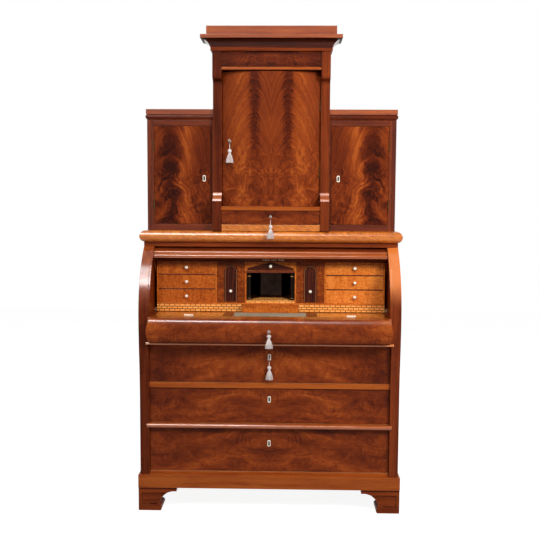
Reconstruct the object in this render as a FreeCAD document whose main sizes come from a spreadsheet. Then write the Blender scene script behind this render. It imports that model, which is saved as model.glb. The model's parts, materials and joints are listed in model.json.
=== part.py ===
import FreeCAD, Part
import math
import os
import Sketcher

# Cylinder desk with a stepped upper cabinet, in millimetres.
# X runs to the right, Y runs away from the sitter, Z is up, and the floor is at zero.
# A setback is measured backwards from the foremost line of the side panels.

SIZES = {
    # carcase
    "body_width": 1080,
    "carcase_depth": 600,
    "side_thickness": 38,
    "back_thickness": 12,
    "foot_height": 98,
    "plinth_height": 55,
    "plinth_overhang": 8.5,
    "plinth_projection": 9,
    "plinth_front_thickness": 40,
    "plinth_back_thickness": 25,
    "sweep_setback": 20,
    "sweep_height": 344,
    # rails and long drawers, from the plinth up
    "bottom_rail_height": 12,
    "lower_drawer_height": 189,
    "lower_bead_height": 19,
    "middle_drawer_height": 149,
    "middle_rail_height": 23,
    "upper_drawer_height": 163,
    "upper_bead_height": 11,
    "slide_height": 105,
    "upper_bead_setback": 3.2,
    "lower_bead_rise": 8,
    "upper_bead_rise": 5,
    "bead_overlap": 9,
    "plain_rail_setback": 34,
    "drawer_setback": 40,
    "dust_board_thickness": 10,
    "drawer_front_thickness": 22,
    "drawer_side_thickness": 10,
    "drawer_bottom_thickness": 8,
    "drawer_bottom_rise": 6,
    "drawer_box_drop": 22,
    "drawer_back_clearance": 26,
    "drawer_gap": 1.2,
    "running_gap": 0.3,
    # feet
    "foot_width": 160,
    "foot_inset": 1,
    "foot_toe_width": 92,
    "foot_ankle_width": 88,
    "foot_ankle_height": 25,
    "foot_toe_rise": 7,
    "foot_cove_radius": 62,
    "foot_lip_width": 14,
    "foot_lip_height": 15,
    "foot_border": 13,
    "foot_panel_recess": 4,
    "rear_foot_thickness": 70,
    # roll opening, frieze and desk slab
    "fall_height": 283,
    "frieze_height": 19,
    "frieze_setback": 150,
    "arm_facing_width": 7.5,
    "arm_facing_depth": 9,
    "frieze_depth": 20,
    "slab_thickness": 49,
    "slab_board_thickness": 25,
    "slab_overhang": 16,
    "slab_setback": 125,
    "slab_nose_rise": 24,
    # cylinder
    "cylinder_axis_rise": 36,
    "cylinder_thickness": 24,
    "cylinder_recess": 30,
    "cylinder_headroom": 10,
    "cylinder_end_gap": 3.5,
    "arm_thickness": 5,
    "arm_hub_radius": 17,
    "pivot_radius": 6,
    "pivot_clearance": 0.08,
    "reed_radius": 6,
    # writing slide
    "bolster_swell": 55,
    "bolster_step": 30,
    "bolster_round_depth": 16.5,
    "bolster_round_drop": 10.7,
    "bolster_foot_gap": 2.5,
    "bolster_end_inset": 14,
    "bolster_end_rise": 13,
    "slide_front_depth": 40,
    "slide_stand_off": 0.5,
    "guide_thickness": 11.5,
    "tray_side_gap": 1,
    "tray_board_thickness": 8,
    "tray_back_clearance": 28,
    "lid_depth": 123,
    "lid_thickness": 8,
    "lid_inner_offset": 197,
    "lid_gap": 0.5,
    "lid_pull_width": 38,
    "lid_pull_depth": 8,
    "lid_pull_height": 5,
    "lid_pull_inset": 16,
    "pad_width": 304,
    "pad_margin": 8,
    "pad_thickness": 1.6,
    "writing_panel_thickness": 11,
    "step_clearance": 2,
    # fitted interior
    "interior_setback": 170,
    "interior_depth": 260,
    "interior_end_gap": 13,
    "interior_plinth_height": 34,
    "interior_plinth_depth": 14,
    "deck_thickness": 12,
    "step_block_width": 240,
    "step_block_projection": 30,
    "interior_height": 193,
    "interior_board": 6,
    "interior_divider": 4,
    "niche_width": 208,
    "document_drawer_width": 121,
    "niche_sill_height": 12,
    "niche_moulding_height": 8,
    "niche_moulding_projection": 6,
    "pediment_height": 42,
    "pediment_end_height": 9,
    "pediment_plate": 1.5,
    "small_front_thickness": 10,
    "small_front_recess": 1,
    "small_side_thickness": 6,
    "small_bottom_thickness": 4,
    "small_drawer_back_clearance": 28,
    "small_gap": 0.7,
    "arch_width": 58,
    "arch_foot": 6,
    "arch_head": 17,
    "arch_plate": 1.2,
    "document_knob_rise": 52,
    "knob_radius": 7,
    "knob_neck_radius": 3.4,
    "knob_neck_length": 6,
    "knob_collar_radius": 5.2,
    "knob_collar_length": 2,
    "mirror_depth": 104,
    "mirror_width": 92,
    "mirror_thickness": 4,
    "mirror_mouth_gap": 5,
    "column_radius": 7.5,
    "column_top_radius": 6.5,
    "column_block_radius": 10,
    "column_block_height": 9,
    "column_ring_radius": 9,
    "column_ring_height": 4,
    "column_offset": 92,
    "column_inset": 14,
    # side cabinets
    "side_case_height": 466,
    "side_case_inset": 12,
    "side_case_setback": 178,
    "side_bottom_rail": 26.5,
    "side_top_rail": 23,
    "side_stile_width": 29,
    "side_inner_stile": 6,
    "case_board": 18,
    "case_inner_board": 10,
    "case_floor": 12,
    "face_thickness": 22,
    "door_thickness": 18,
    "door_gap": 1.4,
    "side_top_height": 46,
    "side_top_neck": 4,
    "side_top_bead_height": 20,
    "side_top_bead_rise": 6,
    "side_top_overhang": 4,
    "escutcheon_length": 27,
    "escutcheon_width": 13,
    "escutcheon_end_rise": 2.5,
    "escutcheon_plate": 1.2,
    "side_escutcheon_inset": 33,
    "side_escutcheon_rise": 195,
    "hinge_radius": 2.6,
    "hinge_length": 48,
    "hinge_inset": 60,
    # centre cabinet
    "centre_width": 492,
    "centre_case_gap": 0.3,
    "pilaster_width": 38,
    "pilaster_depth": 72,
    "block_setback": 128,
    "pilaster_recess": 32,
    "scroll_height": 40,
    "lower_block_height": 122,
    "upper_block_height": 96,
    "base_strip_height": 27,
    "centre_drawer_height": 60,
    "centre_rail_height": 17,
    "centre_door_height": 563,
    "bead_strip_height": 16,
    "bead_strip_rise": 5,
    "frieze_panel_height": 62.5,
    "centre_face_setback": 136,
    "centre_face_thickness": 14,
    "centre_rail_setback": 132,
    "bow_setback": 138,
    "bow_rise": 34,
    "bow_door_thickness": 18,
    "centre_drawer_back_clearance": 6,
    "centre_drawer_drop": 12,
    "centre_key_inset": 33,
    "centre_key_rise": 272,
    # cornice
    "cornice_return": 85,
    "cornice_neck": 11,
    "cornice_neck_overhang": 7,
    "cove_height": 34,
    "cove_overhang": 44,
    "cove_radius": 42,
    "cornice_fillet_height": 15.5,
    "cornice_overhang": 46,
    "top_block_height": 38,
    "top_block_overhang": 23,
    # keys and tassels
    "key_reach": 45,
    "centre_key_reach": 56,
    "key_radius": 3,
    "key_insert": 14,
    "key_bow_radius": 10,
    "key_wire_radius": 2,
    "keyhole_radius": 3.6,
    "slide_key_rise": 58,
    "tassel_cord_radius": 1.3,
    "tassel_loop_clearance": 0.4,
    "tassel_stand_off": 18.5,
    "centre_tassel_stand_off": 29.5,
    "tassel_cord_length": 29,
    "slide_tassel_cord_length": 7,
    "tassel_head_radius": 8.5,
    "tassel_head_height": 15,
    "tassel_neck_radius": 5,
    "tassel_neck_height": 4,
    "tassel_skirt_radius": 16,
    "tassel_skirt_height": 38,
}

# Turns of the cylinder, in degrees, and counts
OPEN_ANGLE = 46
SPAN_ANGLE = 86
PULL_RAIL_ANGLE = 9
REED_ANGLES = (2.2, 6.6)
STAVES = 10
FACING_LENGTHS = 6
QUARTER_TURN = 90
FULL_TURN = 360
SMALL_DRAWER_ROWS = ("bottom", "middle", "top")

# Shares that shape a tassel's bell, a knob's ball and the bowed door's hinge
skirt_waist_share = 0.35
skirt_waist_radius_share = 0.72
knob_waist_share = 0.95
knob_nose_share = 0.35
bow_hinge_share = 1.35

doc = FreeCAD.newDocument("cylinder_desk")
sheet = doc.addObject("Spreadsheet::Sheet", "Sizes")
for row, (alias, number) in enumerate(SIZES.items(), start=1):
    sheet.set(f"A{row}", alias)
    sheet.set(f"B{row}", str(number))
    sheet.setAlias(f"B{row}", alias)
doc.recompute()


class Size:
    """A length of the sheet, or a sum made of such lengths, with the expression that gives it."""

    def __init__(self, value, text):
        self.value = value
        self.text = text

    def joined(self, sign, other, value):
        return Size(value, f"({self.text} {sign} {other.text})")

    def __add__(self, other):
        other = as_size(other)
        return self.joined("+", other, self.value + other.value)

    def __sub__(self, other):
        other = as_size(other)
        return self.joined("-", other, self.value - other.value)

    def __mul__(self, other):
        other = as_size(other)
        return self.joined("*", other, self.value * other.value)

    def __truediv__(self, other):
        other = as_size(other)
        return self.joined("/", other, self.value / other.value)

    def __neg__(self):
        return as_size(0) - self


def as_size(thing):
    """A plain count, share or zero as a Size."""
    if isinstance(thing, Size):
        return thing
    return Size(float(thing), str(thing))


class Sheet:
    """Each size of the sheet by its alias."""

    def __getattr__(self, alias):
        return Size(float(SIZES[alias]), f"Sizes.{alias}")


sz = Sheet()
ZERO = as_size(0)
nodes = []


def bind(item, prop, size):
    """Tie one property to its expression."""
    item.setExpression(prop, as_size(size).text)


def place(item, x=None, y=None, z=None):
    """Tie the given coordinates of an item's place."""
    for axis, size in (("x", x), ("y", y), ("z", z)):
        if size is not None:
            bind(item, f"Placement.Base.{axis}", size)


def node(label, item):
    """Name a finished sub-part."""
    item.Label = label
    nodes.append(item)
    return item


def group(label, members):
    """Several solids of one sub-part."""
    item = doc.addObject("Part::Compound", "group")
    item.Links = members
    return node(label, item)


def mirrored(source):
    """The same piece on the other side of the middle."""
    item = doc.addObject("Part::Mirroring", "mirrored")
    item.Source = source
    item.Normal = FreeCAD.Vector(1, 0, 0)
    return item


def both_sides(source):
    return [source, mirrored(source)]


def board(x, y, z):
    """A squared board between two limits along each axis."""
    item = doc.addObject("Part::Box", "board")
    for prop, axis, (low, high) in (("Length", "x", x), ("Width", "y", y), ("Height", "z", z)):
        bind(item, prop, as_size(high) - low)
        bind(item, f"Placement.Base.{axis}", low)
    return item


def across(half):
    """Limits of a board centred on the middle."""
    return (-half, half)


def cut(base, tool):
    item = doc.addObject("Part::Cut", "cut")
    item.Base = base
    item.Tool = tool
    return item


def common(first, second):
    item = doc.addObject("Part::Common", "common")
    item.Base = first
    item.Tool = second
    return item


def fused(first, second):
    item = doc.addObject("Part::Fuse", "fused")
    item.Base = first
    item.Tool = second
    return item


def rise_radius(chord, rise):
    """Radius of an arc from its chord and its rise."""
    half = chord / 2
    return (half * half + rise * rise) / (rise * 2)


def arc_edge(start, end, radius):
    """An arc between two corners; a positive radius turns to the left, a negative one to the right."""
    turn = 1 if radius > 0 else -1
    chord = end - start
    half = chord.Length / 2
    reach = max(radius * radius - half * half, 0) ** 0.5
    left = FreeCAD.Vector(-chord.y, chord.x, 0).normalize()
    centre = (start + end) * 0.5 + left * (turn * reach)
    first, last = (start, end) if turn > 0 else (end, start)
    axis = FreeCAD.Vector(1, 0, 0)
    normal = FreeCAD.Vector(0, 0, 1)
    angles = [axis.getAngle(p - centre) * (1 if (p - centre).y >= 0 else -1) for p in (first, last)]
    circle = Part.Circle(centre, normal, abs(radius))
    return Part.ArcOfCircle(circle, angles[0], angles[1])


def outline(body, plane, corners):
    """A closed sketch; a corner is (u, v), or (u, v, radius) where an arc leads on to the next corner."""
    sketch = body.newObject("Sketcher::SketchObject", "outline")
    support = [f for f in body.Origin.OriginFeatures if f.Role == plane]
    sketch.AttachmentSupport = [(support[0], "")]
    sketch.MapMode = "FlatFace"
    corners = [tuple(as_size(part) for part in corner) for corner in corners]
    points = [FreeCAD.Vector(c[0].value, c[1].value, 0) for c in corners]
    count = len(corners)
    edges = []
    starts = []
    for index, corner in enumerate(corners):
        start, end = points[index], points[(index + 1) % count]
        if len(corner) == 2:
            edges.append(Part.LineSegment(start, end))
            starts.append(1)
        else:
            edges.append(arc_edge(start, end, corner[2].value))
            starts.append(1 if corner[2].value > 0 else 2)
    sketch.addGeometry(edges, False)
    joints = []
    for index in range(count):
        after = (index + 1) % count
        joints.append(Sketcher.Constraint("Coincident", index, 3 - starts[index], after, starts[after]))
    sketch.addConstraint(joints)
    for index, corner in enumerate(corners):
        where = (index, starts[index])
        for kind, axis, size in (("DistanceX", -2, corner[0]), ("DistanceY", -1, corner[1])):
            if size.value == 0:
                sketch.addConstraint(Sketcher.Constraint("PointOnObject", *where, axis))
            else:
                number = sketch.addConstraint(Sketcher.Constraint(kind, -1, 1, *where, size.value))
                bind(sketch, f"Constraints[{number}]", size)
        if len(corner) > 2:
            turn = 1 if corner[2].value > 0 else -1
            number = sketch.addConstraint(Sketcher.Constraint("Radius", index, abs(corner[2].value)))
            bind(sketch, f"Constraints[{number}]", corner[2] * turn)
    return sketch


def padded(plane, corners, start, length):
    """An outline given a thickness: on YZ it runs on to the right, on XZ forwards, on XY upwards."""
    body = doc.addObject("PartDesign::Body", "padded")
    pad = body.newObject("PartDesign::Pad", "pad")
    pad.Profile = outline(body, plane, corners)
    bind(pad, "Length", length)
    axis = {"YZ_Plane": "x", "XZ_Plane": "y", "XY_Plane": "z"}[plane]
    bind(body, f"Placement.Base.{axis}", start)
    body.Tip = pad
    return body


def turned(corners):
    """A turned solid about its own Z axis, from (radius, height) corners."""
    body = doc.addObject("PartDesign::Body", "turned")
    sketch = outline(body, "XZ_Plane", corners)
    spin = body.newObject("PartDesign::Revolution", "spin")
    spin.Profile = sketch
    spin.ReferenceAxis = (sketch, ["V_Axis"])
    spin.Angle = FULL_TURN
    body.Tip = spin
    return body


def rod(radius, length, x, y, z, forwards=False):
    """A round rod from its lower end upwards, or from its rear end forwards."""
    item = doc.addObject("Part::Cylinder", "rod")
    bind(item, "Radius", radius)
    bind(item, "Height", length)
    if forwards:
        item.Placement.Rotation = FreeCAD.Rotation(FreeCAD.Vector(1, 0, 0), QUARTER_TURN)
    place(item, x, y, z)
    return item


# Shared levels, from the floor up
front = (sz.bolster_swell + sz.key_reach - sz.carcase_depth) / 2


def at(setback):
    """The Y of a setback behind the foremost line of the sides."""
    return front + setback


back = at(sz.carcase_depth)
inner_back = back - sz.back_thickness
half_body = sz.body_width / 2
half_inside = half_body - sz.side_thickness
body_z = sz.foot_height + sz.plinth_height
lower_z = body_z + sz.bottom_rail_height
lower_bead_z = lower_z + sz.lower_drawer_height
middle_z = lower_bead_z + sz.lower_bead_height
middle_rail_z = middle_z + sz.middle_drawer_height
upper_z = middle_rail_z + sz.middle_rail_height
upper_bead_z = upper_z + sz.upper_drawer_height
slide_z = upper_bead_z + sz.upper_bead_height
desk_z = slide_z + sz.slide_height
frieze_z = desk_z + sz.fall_height
slab_z = frieze_z + sz.frieze_height
slab_top_z = slab_z + sz.slab_thickness
board_z = slab_top_z - sz.slab_board_thickness


def fall_radius():
    """The radius of the swept edges above the desk, upright at their foot."""
    return (sz.fall_height * sz.fall_height + sz.frieze_setback * sz.frieze_setback) / (sz.frieze_setback * 2)


def make_sides():
    half_sweep = sz.sweep_setback / 2
    roll = fall_radius()
    half_height = sz.sweep_height / 2
    sweep_radius = (half_height * half_height + half_sweep * half_sweep) / sz.sweep_setback
    profile = [
        (at(sz.sweep_setback), body_z),
        (at(sz.sweep_setback), desk_z - sz.sweep_height, sweep_radius),
        (at(half_sweep), desk_z - half_height, -sweep_radius),
        (at(ZERO), desk_z, -roll),
        (at(sz.frieze_setback), frieze_z),
        (at(sz.frieze_setback + sz.frieze_depth), frieze_z),
        (at(sz.frieze_setback + sz.frieze_depth), slab_z),
        (back, slab_z),
        (back, body_z),
    ]
    right = padded("YZ_Plane", profile, half_inside, sz.side_thickness)
    node("right_side_panel", right)
    node("left_side_panel", mirrored(right))


def make_carcase():
    node("lower_back_panel", board(across(half_inside), (inner_back, back), (body_z, board_z)))
    rail_back = at(sz.drawer_setback)
    node("bottom_board", board(across(half_inside), (rail_back, inner_back), (body_z, lower_z)))

    plinth_half = half_body + sz.plinth_overhang
    plinth_front = at(sz.sweep_setback - sz.plinth_projection)
    plinth_inner = plinth_front + sz.plinth_front_thickness
    plinth_rear = back - sz.plinth_back_thickness
    tall = (sz.foot_height, body_z)
    end_board = board((half_inside, plinth_half), (plinth_inner, plinth_rear), tall)
    front_board = board(across(plinth_half), (plinth_front, plinth_inner), tall)
    back_board = board(across(plinth_half), (plinth_rear, back), tall)
    group("plinth_frame", [front_board, back_board] + both_sides(end_board))
    make_feet(plinth_half, plinth_front)

    half_bead = half_inside + sz.bead_overlap
    beads = []
    for low, height, rise, plane in (
        (lower_bead_z, sz.lower_bead_height, sz.lower_bead_rise, at(sz.sweep_setback - sz.running_gap)),
        (upper_bead_z, sz.upper_bead_height, sz.upper_bead_rise, at(sz.upper_bead_setback)),
    ):
        profile = [(plane, low), (plane, low + height, rise_radius(height, rise))]
        beads.append(padded("YZ_Plane", profile, -half_bead, half_bead * 2))
        beads.append(board(across(half_inside), (plane, rail_back), (low, low + height)))
    group("bead_rails", beads)

    plain = (at(sz.plain_rail_setback), rail_back)
    bottom_rail = board(across(half_inside), plain, (body_z, lower_z))
    middle_rail = board(across(half_inside), plain, (middle_rail_z, upper_z))
    group("plain_rails", [bottom_rail, middle_rail])

    tops = (middle_z, upper_z, slide_z)
    depth = (rail_back, inner_back)
    group("dust_boards", [board(across(half_inside), depth, (t - sz.dust_board_thickness, t)) for t in tops])

    guide = board(
        (half_inside - sz.guide_thickness, half_inside),
        (rail_back + sz.drawer_front_thickness, inner_back),
        (slide_z, desk_z + sz.step_clearance),
    )
    group("slide_guides", both_sides(guide))
    frieze = (at(sz.frieze_setback), at(sz.frieze_setback + sz.frieze_depth))
    rail = board(across(half_body), frieze, (frieze_z, slab_z))
    group("frieze_rail", [rail] + arm_facings())


def arm_facings():
    """Strips inside the swept edges, in short lengths that follow the curve."""
    radius = fall_radius()
    low = math.degrees(math.asin((sz.step_clearance / radius).value))
    high = math.degrees(math.asin(((sz.fall_height - sz.running_gap) / radius).value))
    step = (high - low) / FACING_LENGTHS
    strips = []
    for index in range(FACING_LENGTHS):
        bar = sector(radius, step, low + step * index, half_inside, sz.arm_facing_width)
        bore = sector(radius - sz.arm_facing_depth, FULL_TURN, 0, half_inside, sz.arm_facing_width)
        for item in (bar, bore):
            place(item, y=at(radius), z=desk_z)
        strips += both_sides(cut(bar, bore))
    return strips


def foot_outline(outer, inward, turn):
    """A bracket foot seen square on, from its outer edge inwards."""
    toe_rise = rise_radius(sz.foot_ankle_height, sz.foot_toe_rise)
    lip_z = sz.foot_height - sz.foot_lip_height
    return [
        (outer, ZERO),
        (outer + inward * sz.foot_toe_width, ZERO, toe_rise * turn),
        (outer + inward * sz.foot_ankle_width, sz.foot_ankle_height, sz.foot_cove_radius * -turn),
        (outer + inward * (sz.foot_width - sz.foot_lip_width), lip_z),
        (outer + inward * sz.foot_width, lip_z),
        (outer + inward * sz.foot_width, sz.foot_height),
        (outer, sz.foot_height),
    ]


def make_feet(plinth_half, plinth_front):
    outer = plinth_half - sz.foot_inset
    foremost = plinth_front + sz.foot_inset
    leftwards = as_size(-1)
    backwards = as_size(1)
    face = padded("XZ_Plane", foot_outline(outer, leftwards, -1), foremost + sz.foot_width, sz.foot_width)
    flank = padded(
        "YZ_Plane", foot_outline(foremost, backwards, 1), outer - sz.foot_width, sz.foot_width
    )
    border = sz.foot_border
    lip_z = sz.foot_height - sz.foot_lip_height
    panel_low = sz.foot_ankle_height
    panel = [
        (outer - border, panel_low),
        (outer - border, lip_z - border / 2),
        (outer - sz.foot_width + sz.foot_lip_width * 2, lip_z - border / 2, -sz.foot_cove_radius),
        (outer - sz.foot_ankle_width + border, panel_low),
    ]
    recess = padded("XZ_Plane", panel, foremost + sz.foot_panel_recess, sz.foot_panel_recess * 2)
    group("front_feet", both_sides(cut(common(face, flank), recess)))

    rear = padded(
        "YZ_Plane", foot_outline(back - sz.foot_inset, leftwards, -1),
        outer - sz.rear_foot_thickness, sz.rear_foot_thickness,
    )
    group("rear_feet", both_sides(rear))


def make_desk_top():
    """A board with a built-up rounded edge on three sides, hollow beneath for the cylinder."""
    half_slab = half_body + sz.slab_overhang
    nose = rise_radius(sz.slab_thickness, sz.slab_nose_rise)
    spring = half_slab - sz.slab_nose_rise
    front_spring = at(sz.slab_setback + sz.slab_nose_rise)
    side_view = [
        (front_spring, slab_top_z, nose),
        (front_spring, slab_z),
        (back, slab_z),
        (back, slab_top_z),
    ]
    front_view = [
        (-spring, slab_top_z, nose),
        (-spring, slab_z),
        (spring, slab_z, nose),
        (spring, slab_top_z),
    ]
    length = half_slab * 2
    depth = back - at(sz.slab_setback)
    whole = common(
        padded("YZ_Plane", side_view, -half_slab, length), padded("XZ_Plane", front_view, back, depth)
    )
    frieze_back = at(sz.frieze_setback + sz.frieze_depth)
    foremost = at(sz.slab_setback)
    upper = board(across(half_slab), (foremost, back), (board_z, slab_top_z))
    front_strip = board(across(half_slab), (foremost, frieze_back), (slab_z, board_z))
    end_strip = board((half_inside, half_slab), (frieze_back, back), (slab_z, board_z))
    pieces = [common(whole, piece) for piece in (upper, front_strip, end_strip)]
    group("desk_top", pieces + [mirrored(pieces[-1])])


# Cylinder
axis_z = desk_z + sz.cylinder_axis_rise
roll_radius = board_z - sz.cylinder_headroom - axis_z
axis_y = at(sz.cylinder_recess + roll_radius)
half_roll = half_inside - sz.cylinder_end_gap - sz.arm_thickness


def sector(radius, angle, turn, start, length):
    """Part of a round bar along X, from a turn above its foremost line."""
    item = doc.addObject("Part::Cylinder", "sector")
    bind(item, "Radius", radius)
    bind(item, "Height", length)
    item.Angle = angle
    facing = FreeCAD.Rotation(
        FreeCAD.Vector(0, -1, 0), FreeCAD.Vector(0, 0, 1), FreeCAD.Vector(-1, 0, 0), "ZXY"
    )
    item.Placement.Rotation = facing * FreeCAD.Rotation(FreeCAD.Vector(0, 0, 1), turn)
    place(item, x=start)
    return item


def rolled(label, members):
    """Pieces of the cylinder, turned up to the open position."""
    item = group(label, members)
    item.Placement.Rotation = FreeCAD.Rotation(FreeCAD.Vector(1, 0, 0), -OPEN_ANGLE)
    place(item, y=axis_y, z=axis_z)
    return item


def stave(angle, turn):
    inner = roll_radius - sz.cylinder_thickness
    outside = sector(roll_radius, angle, turn, half_roll, half_roll * 2)
    overrun = half_roll + sz.arm_thickness
    return cut(outside, sector(inner, FULL_TURN, 0, overrun, overrun * 2))


def make_cylinder():
    step = (SPAN_ANGLE - PULL_RAIL_ANGLE) / STAVES
    rolled("cylinder_shell", [stave(step, PULL_RAIL_ANGLE + step * n) for n in range(STAVES)])

    rail = stave(PULL_RAIL_ANGLE, 0)
    for angle in REED_ANGLES:
        reed = doc.addObject("Part::Cylinder", "reed")
        bind(reed, "Radius", sz.reed_radius)
        bind(reed, "Height", half_roll * 2)
        reed.Placement.Rotation = FreeCAD.Rotation(FreeCAD.Vector(0, 1, 0), -QUARTER_TURN)
        turn = FreeCAD.Rotation(FreeCAD.Vector(1, 0, 0), -angle)
        ahead = turn.multVec(FreeCAD.Vector(0, -1, 0))
        place(reed, half_roll, roll_radius * ahead.y, roll_radius * ahead.z)
        rail = fused(rail, reed)
    rolled("cylinder_pull_rail", [rail])

    outer = half_roll + sz.arm_thickness
    quadrant = sector(roll_radius, SPAN_ANGLE, 0, outer, sz.arm_thickness)
    hub = sector(sz.arm_hub_radius, FULL_TURN, 0, outer, sz.arm_thickness)
    eye_radius = sz.pivot_radius + sz.pivot_clearance
    eye = sector(eye_radius, FULL_TURN, 0, half_inside, half_inside - half_roll + sz.arm_thickness)
    rolled("cylinder_arms", both_sides(cut(fused(quadrant, hub), eye)))


# Keys and tassels
def key_and_tassel(name, x, face_y, z, reach, stand_off, cord_length):
    """A key pushed into its hole in the face, and the tassel that hangs from its shank."""
    bow_y = face_y - reach + sz.key_bow_radius + sz.key_wire_radius
    shank_end = bow_y + sz.key_bow_radius
    inside = face_y + sz.key_insert
    shank = rod(sz.key_radius, inside - shank_end, x, inside, z, forwards=True)
    bow = doc.addObject("Part::Torus", "bow")
    bind(bow, "Radius1", sz.key_bow_radius)
    bind(bow, "Radius2", sz.key_wire_radius)
    bow.Placement.Rotation = FreeCAD.Rotation(FreeCAD.Vector(0, 1, 0), QUARTER_TURN)
    place(bow, x, bow_y, z)
    node(f"{name}_key", fused(shank, bow))

    loop_radius = sz.key_radius + sz.tassel_loop_clearance + sz.tassel_cord_radius
    hang_y = face_y - stand_off
    loop = doc.addObject("Part::Torus", "loop")
    bind(loop, "Radius1", loop_radius)
    bind(loop, "Radius2", sz.tassel_cord_radius)
    loop.Placement.Rotation = FreeCAD.Rotation(FreeCAD.Vector(1, 0, 0), QUARTER_TURN)
    place(loop, x, hang_y, z)
    head_top = z - loop_radius - cord_length
    hanger = rod(sz.tassel_cord_radius, cord_length, x, hang_y, head_top)
    head = sz.tassel_head_height
    neck_low = -head - sz.tassel_neck_height
    waist = neck_low - sz.tassel_skirt_height * skirt_waist_share
    hem = neck_low - sz.tassel_skirt_height
    bulge = rise_radius(head, sz.tassel_head_radius - sz.tassel_neck_radius)
    skirt = turned([
        (ZERO, ZERO),
        (ZERO, hem),
        (sz.tassel_skirt_radius, hem),
        (sz.tassel_skirt_radius * skirt_waist_radius_share, waist),
        (sz.tassel_neck_radius, neck_low),
        (sz.tassel_neck_radius, -head, bulge),
        (sz.tassel_cord_radius, ZERO),
    ])
    place(skirt, x, hang_y, head_top)
    node(f"{name}_tassel", fused(fused(loop, hanger), skirt))


def keyhole(x, face_y, z):
    """The hole that a key goes into."""
    deep = sz.key_insert + sz.bolster_step
    start = face_y + deep
    return rod(sz.keyhole_radius, deep * 2, x, start, z, forwards=True)


def escutcheon(x, face_y, z, keyed=False):
    """An upright bone plate with bowed ends, let on to a front."""
    half = sz.escutcheon_width / 2
    tall = sz.escutcheon_length / 2 - sz.escutcheon_end_rise
    end = rise_radius(sz.escutcheon_width, sz.escutcheon_end_rise)
    edge = [
        (x - half, z - tall, end),
        (x + half, z - tall),
        (x + half, z + tall, end),
        (x - half, z + tall),
    ]
    plate = padded("XZ_Plane", edge, face_y, sz.escutcheon_plate)
    if keyed:
        return cut(plate, keyhole(x, face_y, z))
    return plate


def make_slide():
    low = slide_z + sz.bolster_foot_gap
    tall = desk_z - low
    plane = at(-sz.slide_stand_off)
    spring = at(-sz.bolster_step)
    nose = spring - sz.bolster_round_depth
    drop = sz.bolster_round_drop
    edge = (sz.bolster_round_depth * sz.bolster_round_depth + drop * drop) / (drop * 2)
    swell = rise_radius(tall - drop * 2, sz.bolster_swell - sz.bolster_step - sz.bolster_round_depth)
    side_view = [
        (plane, low),
        (plane, desk_z),
        (spring, desk_z, edge),
        (nose, desk_z - drop, swell),
        (nose, low + drop, edge),
        (spring, low),
    ]
    half_end = half_inside - sz.bolster_end_inset
    end = rise_radius(tall, sz.bolster_end_rise)
    front_view = [
        (-half_end, desk_z, end),
        (-half_end, low),
        (half_end, low, end),
        (half_end, desk_z),
    ]
    reach = half_end + sz.bolster_end_rise
    roll = common(
        padded("YZ_Plane", side_view, -reach, reach * 2),
        padded("XZ_Plane", front_view, plane, sz.bolster_swell * 2),
    )
    key_z = low + sz.slide_key_rise
    face_y = at(-sz.bolster_swell)
    front_back = at(sz.slide_front_depth)
    front_board = board(
        across(half_inside - sz.tray_side_gap), (plane, front_back), (low, desk_z)
    )
    group("slide_bolster", [cut(roll, keyhole(ZERO, face_y, key_z)), front_board])
    key_and_tassel(
        "slide", ZERO, face_y, key_z, sz.key_reach, sz.tassel_stand_off, sz.slide_tassel_cord_length
    )

    thick = sz.tray_board_thickness
    half_tray = half_inside - sz.guide_thickness - sz.tray_side_gap
    floor_low = slide_z + sz.running_gap
    floor_top = floor_low + thick
    tray_back = inner_back - sz.tray_back_clearance
    lid_back = front_back + sz.lid_depth
    lid_low = desk_z - sz.lid_thickness
    side_inner = half_tray - thick
    divider = (sz.lid_inner_offset - thick, sz.lid_inner_offset)
    under_lid = lid_low - sz.running_gap
    pieces = [
        board(across(half_tray), (front_back, tray_back), (floor_low, floor_top)),
        board(across(side_inner), (lid_back - thick, lid_back), (floor_top, under_lid)),
        board(across(side_inner), (lid_back, tray_back), (lid_low, desk_z)),
        board(across(side_inner), (tray_back - thick, tray_back), (floor_top, lid_low)),
        board(
            across(divider[0]), (front_back, lid_back),
            (desk_z - sz.writing_panel_thickness, desk_z - sz.running_gap),
        ),
    ]
    pieces += both_sides(board((side_inner, half_tray), (front_back, tray_back), (floor_top, desk_z)))
    compartment = (front_back, lid_back - thick)
    pieces += both_sides(
        board(divider, compartment, (floor_top, desk_z))
    )
    group("slide_tray", pieces)

    pad_low = desk_z - sz.running_gap
    pad = (front_back + sz.pad_margin, lid_back - sz.pad_margin)
    node("leather_pad", board(across(sz.pad_width / 2), pad, (pad_low, pad_low + sz.pad_thickness)))

    gap = sz.lid_gap
    leaf = board(
        (sz.lid_inner_offset + gap, side_inner - gap), (front_back + gap, lid_back - gap), (lid_low, desk_z)
    )
    middle = (sz.lid_inner_offset + side_inner) / 2
    half_pull = sz.lid_pull_width / 2
    pull_front = front_back + sz.lid_pull_inset
    pull = board(
        (middle - half_pull, middle + half_pull),
        (pull_front, pull_front + sz.lid_pull_depth),
        (desk_z, desk_z + sz.lid_pull_height),
    )
    right = group("right_lid", [leaf, pull])
    node("left_lid", mirrored(right))


def drawer_box(half, y, low, high):
    """Two sides, a back and a bottom between limits, on the drawer's own middle."""
    thick = sz.drawer_side_thickness
    front_y, back_y = y
    floor_low = low + sz.drawer_bottom_rise
    floor = (floor_low, floor_low + sz.drawer_bottom_thickness)
    inner = half - thick
    return [
        board(across(inner), (front_y, back_y), floor),
        board(across(inner), (back_y - thick, back_y), (floor[1], high)),
    ] + both_sides(board((inner, half), (front_y, back_y), (low, high)))


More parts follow.
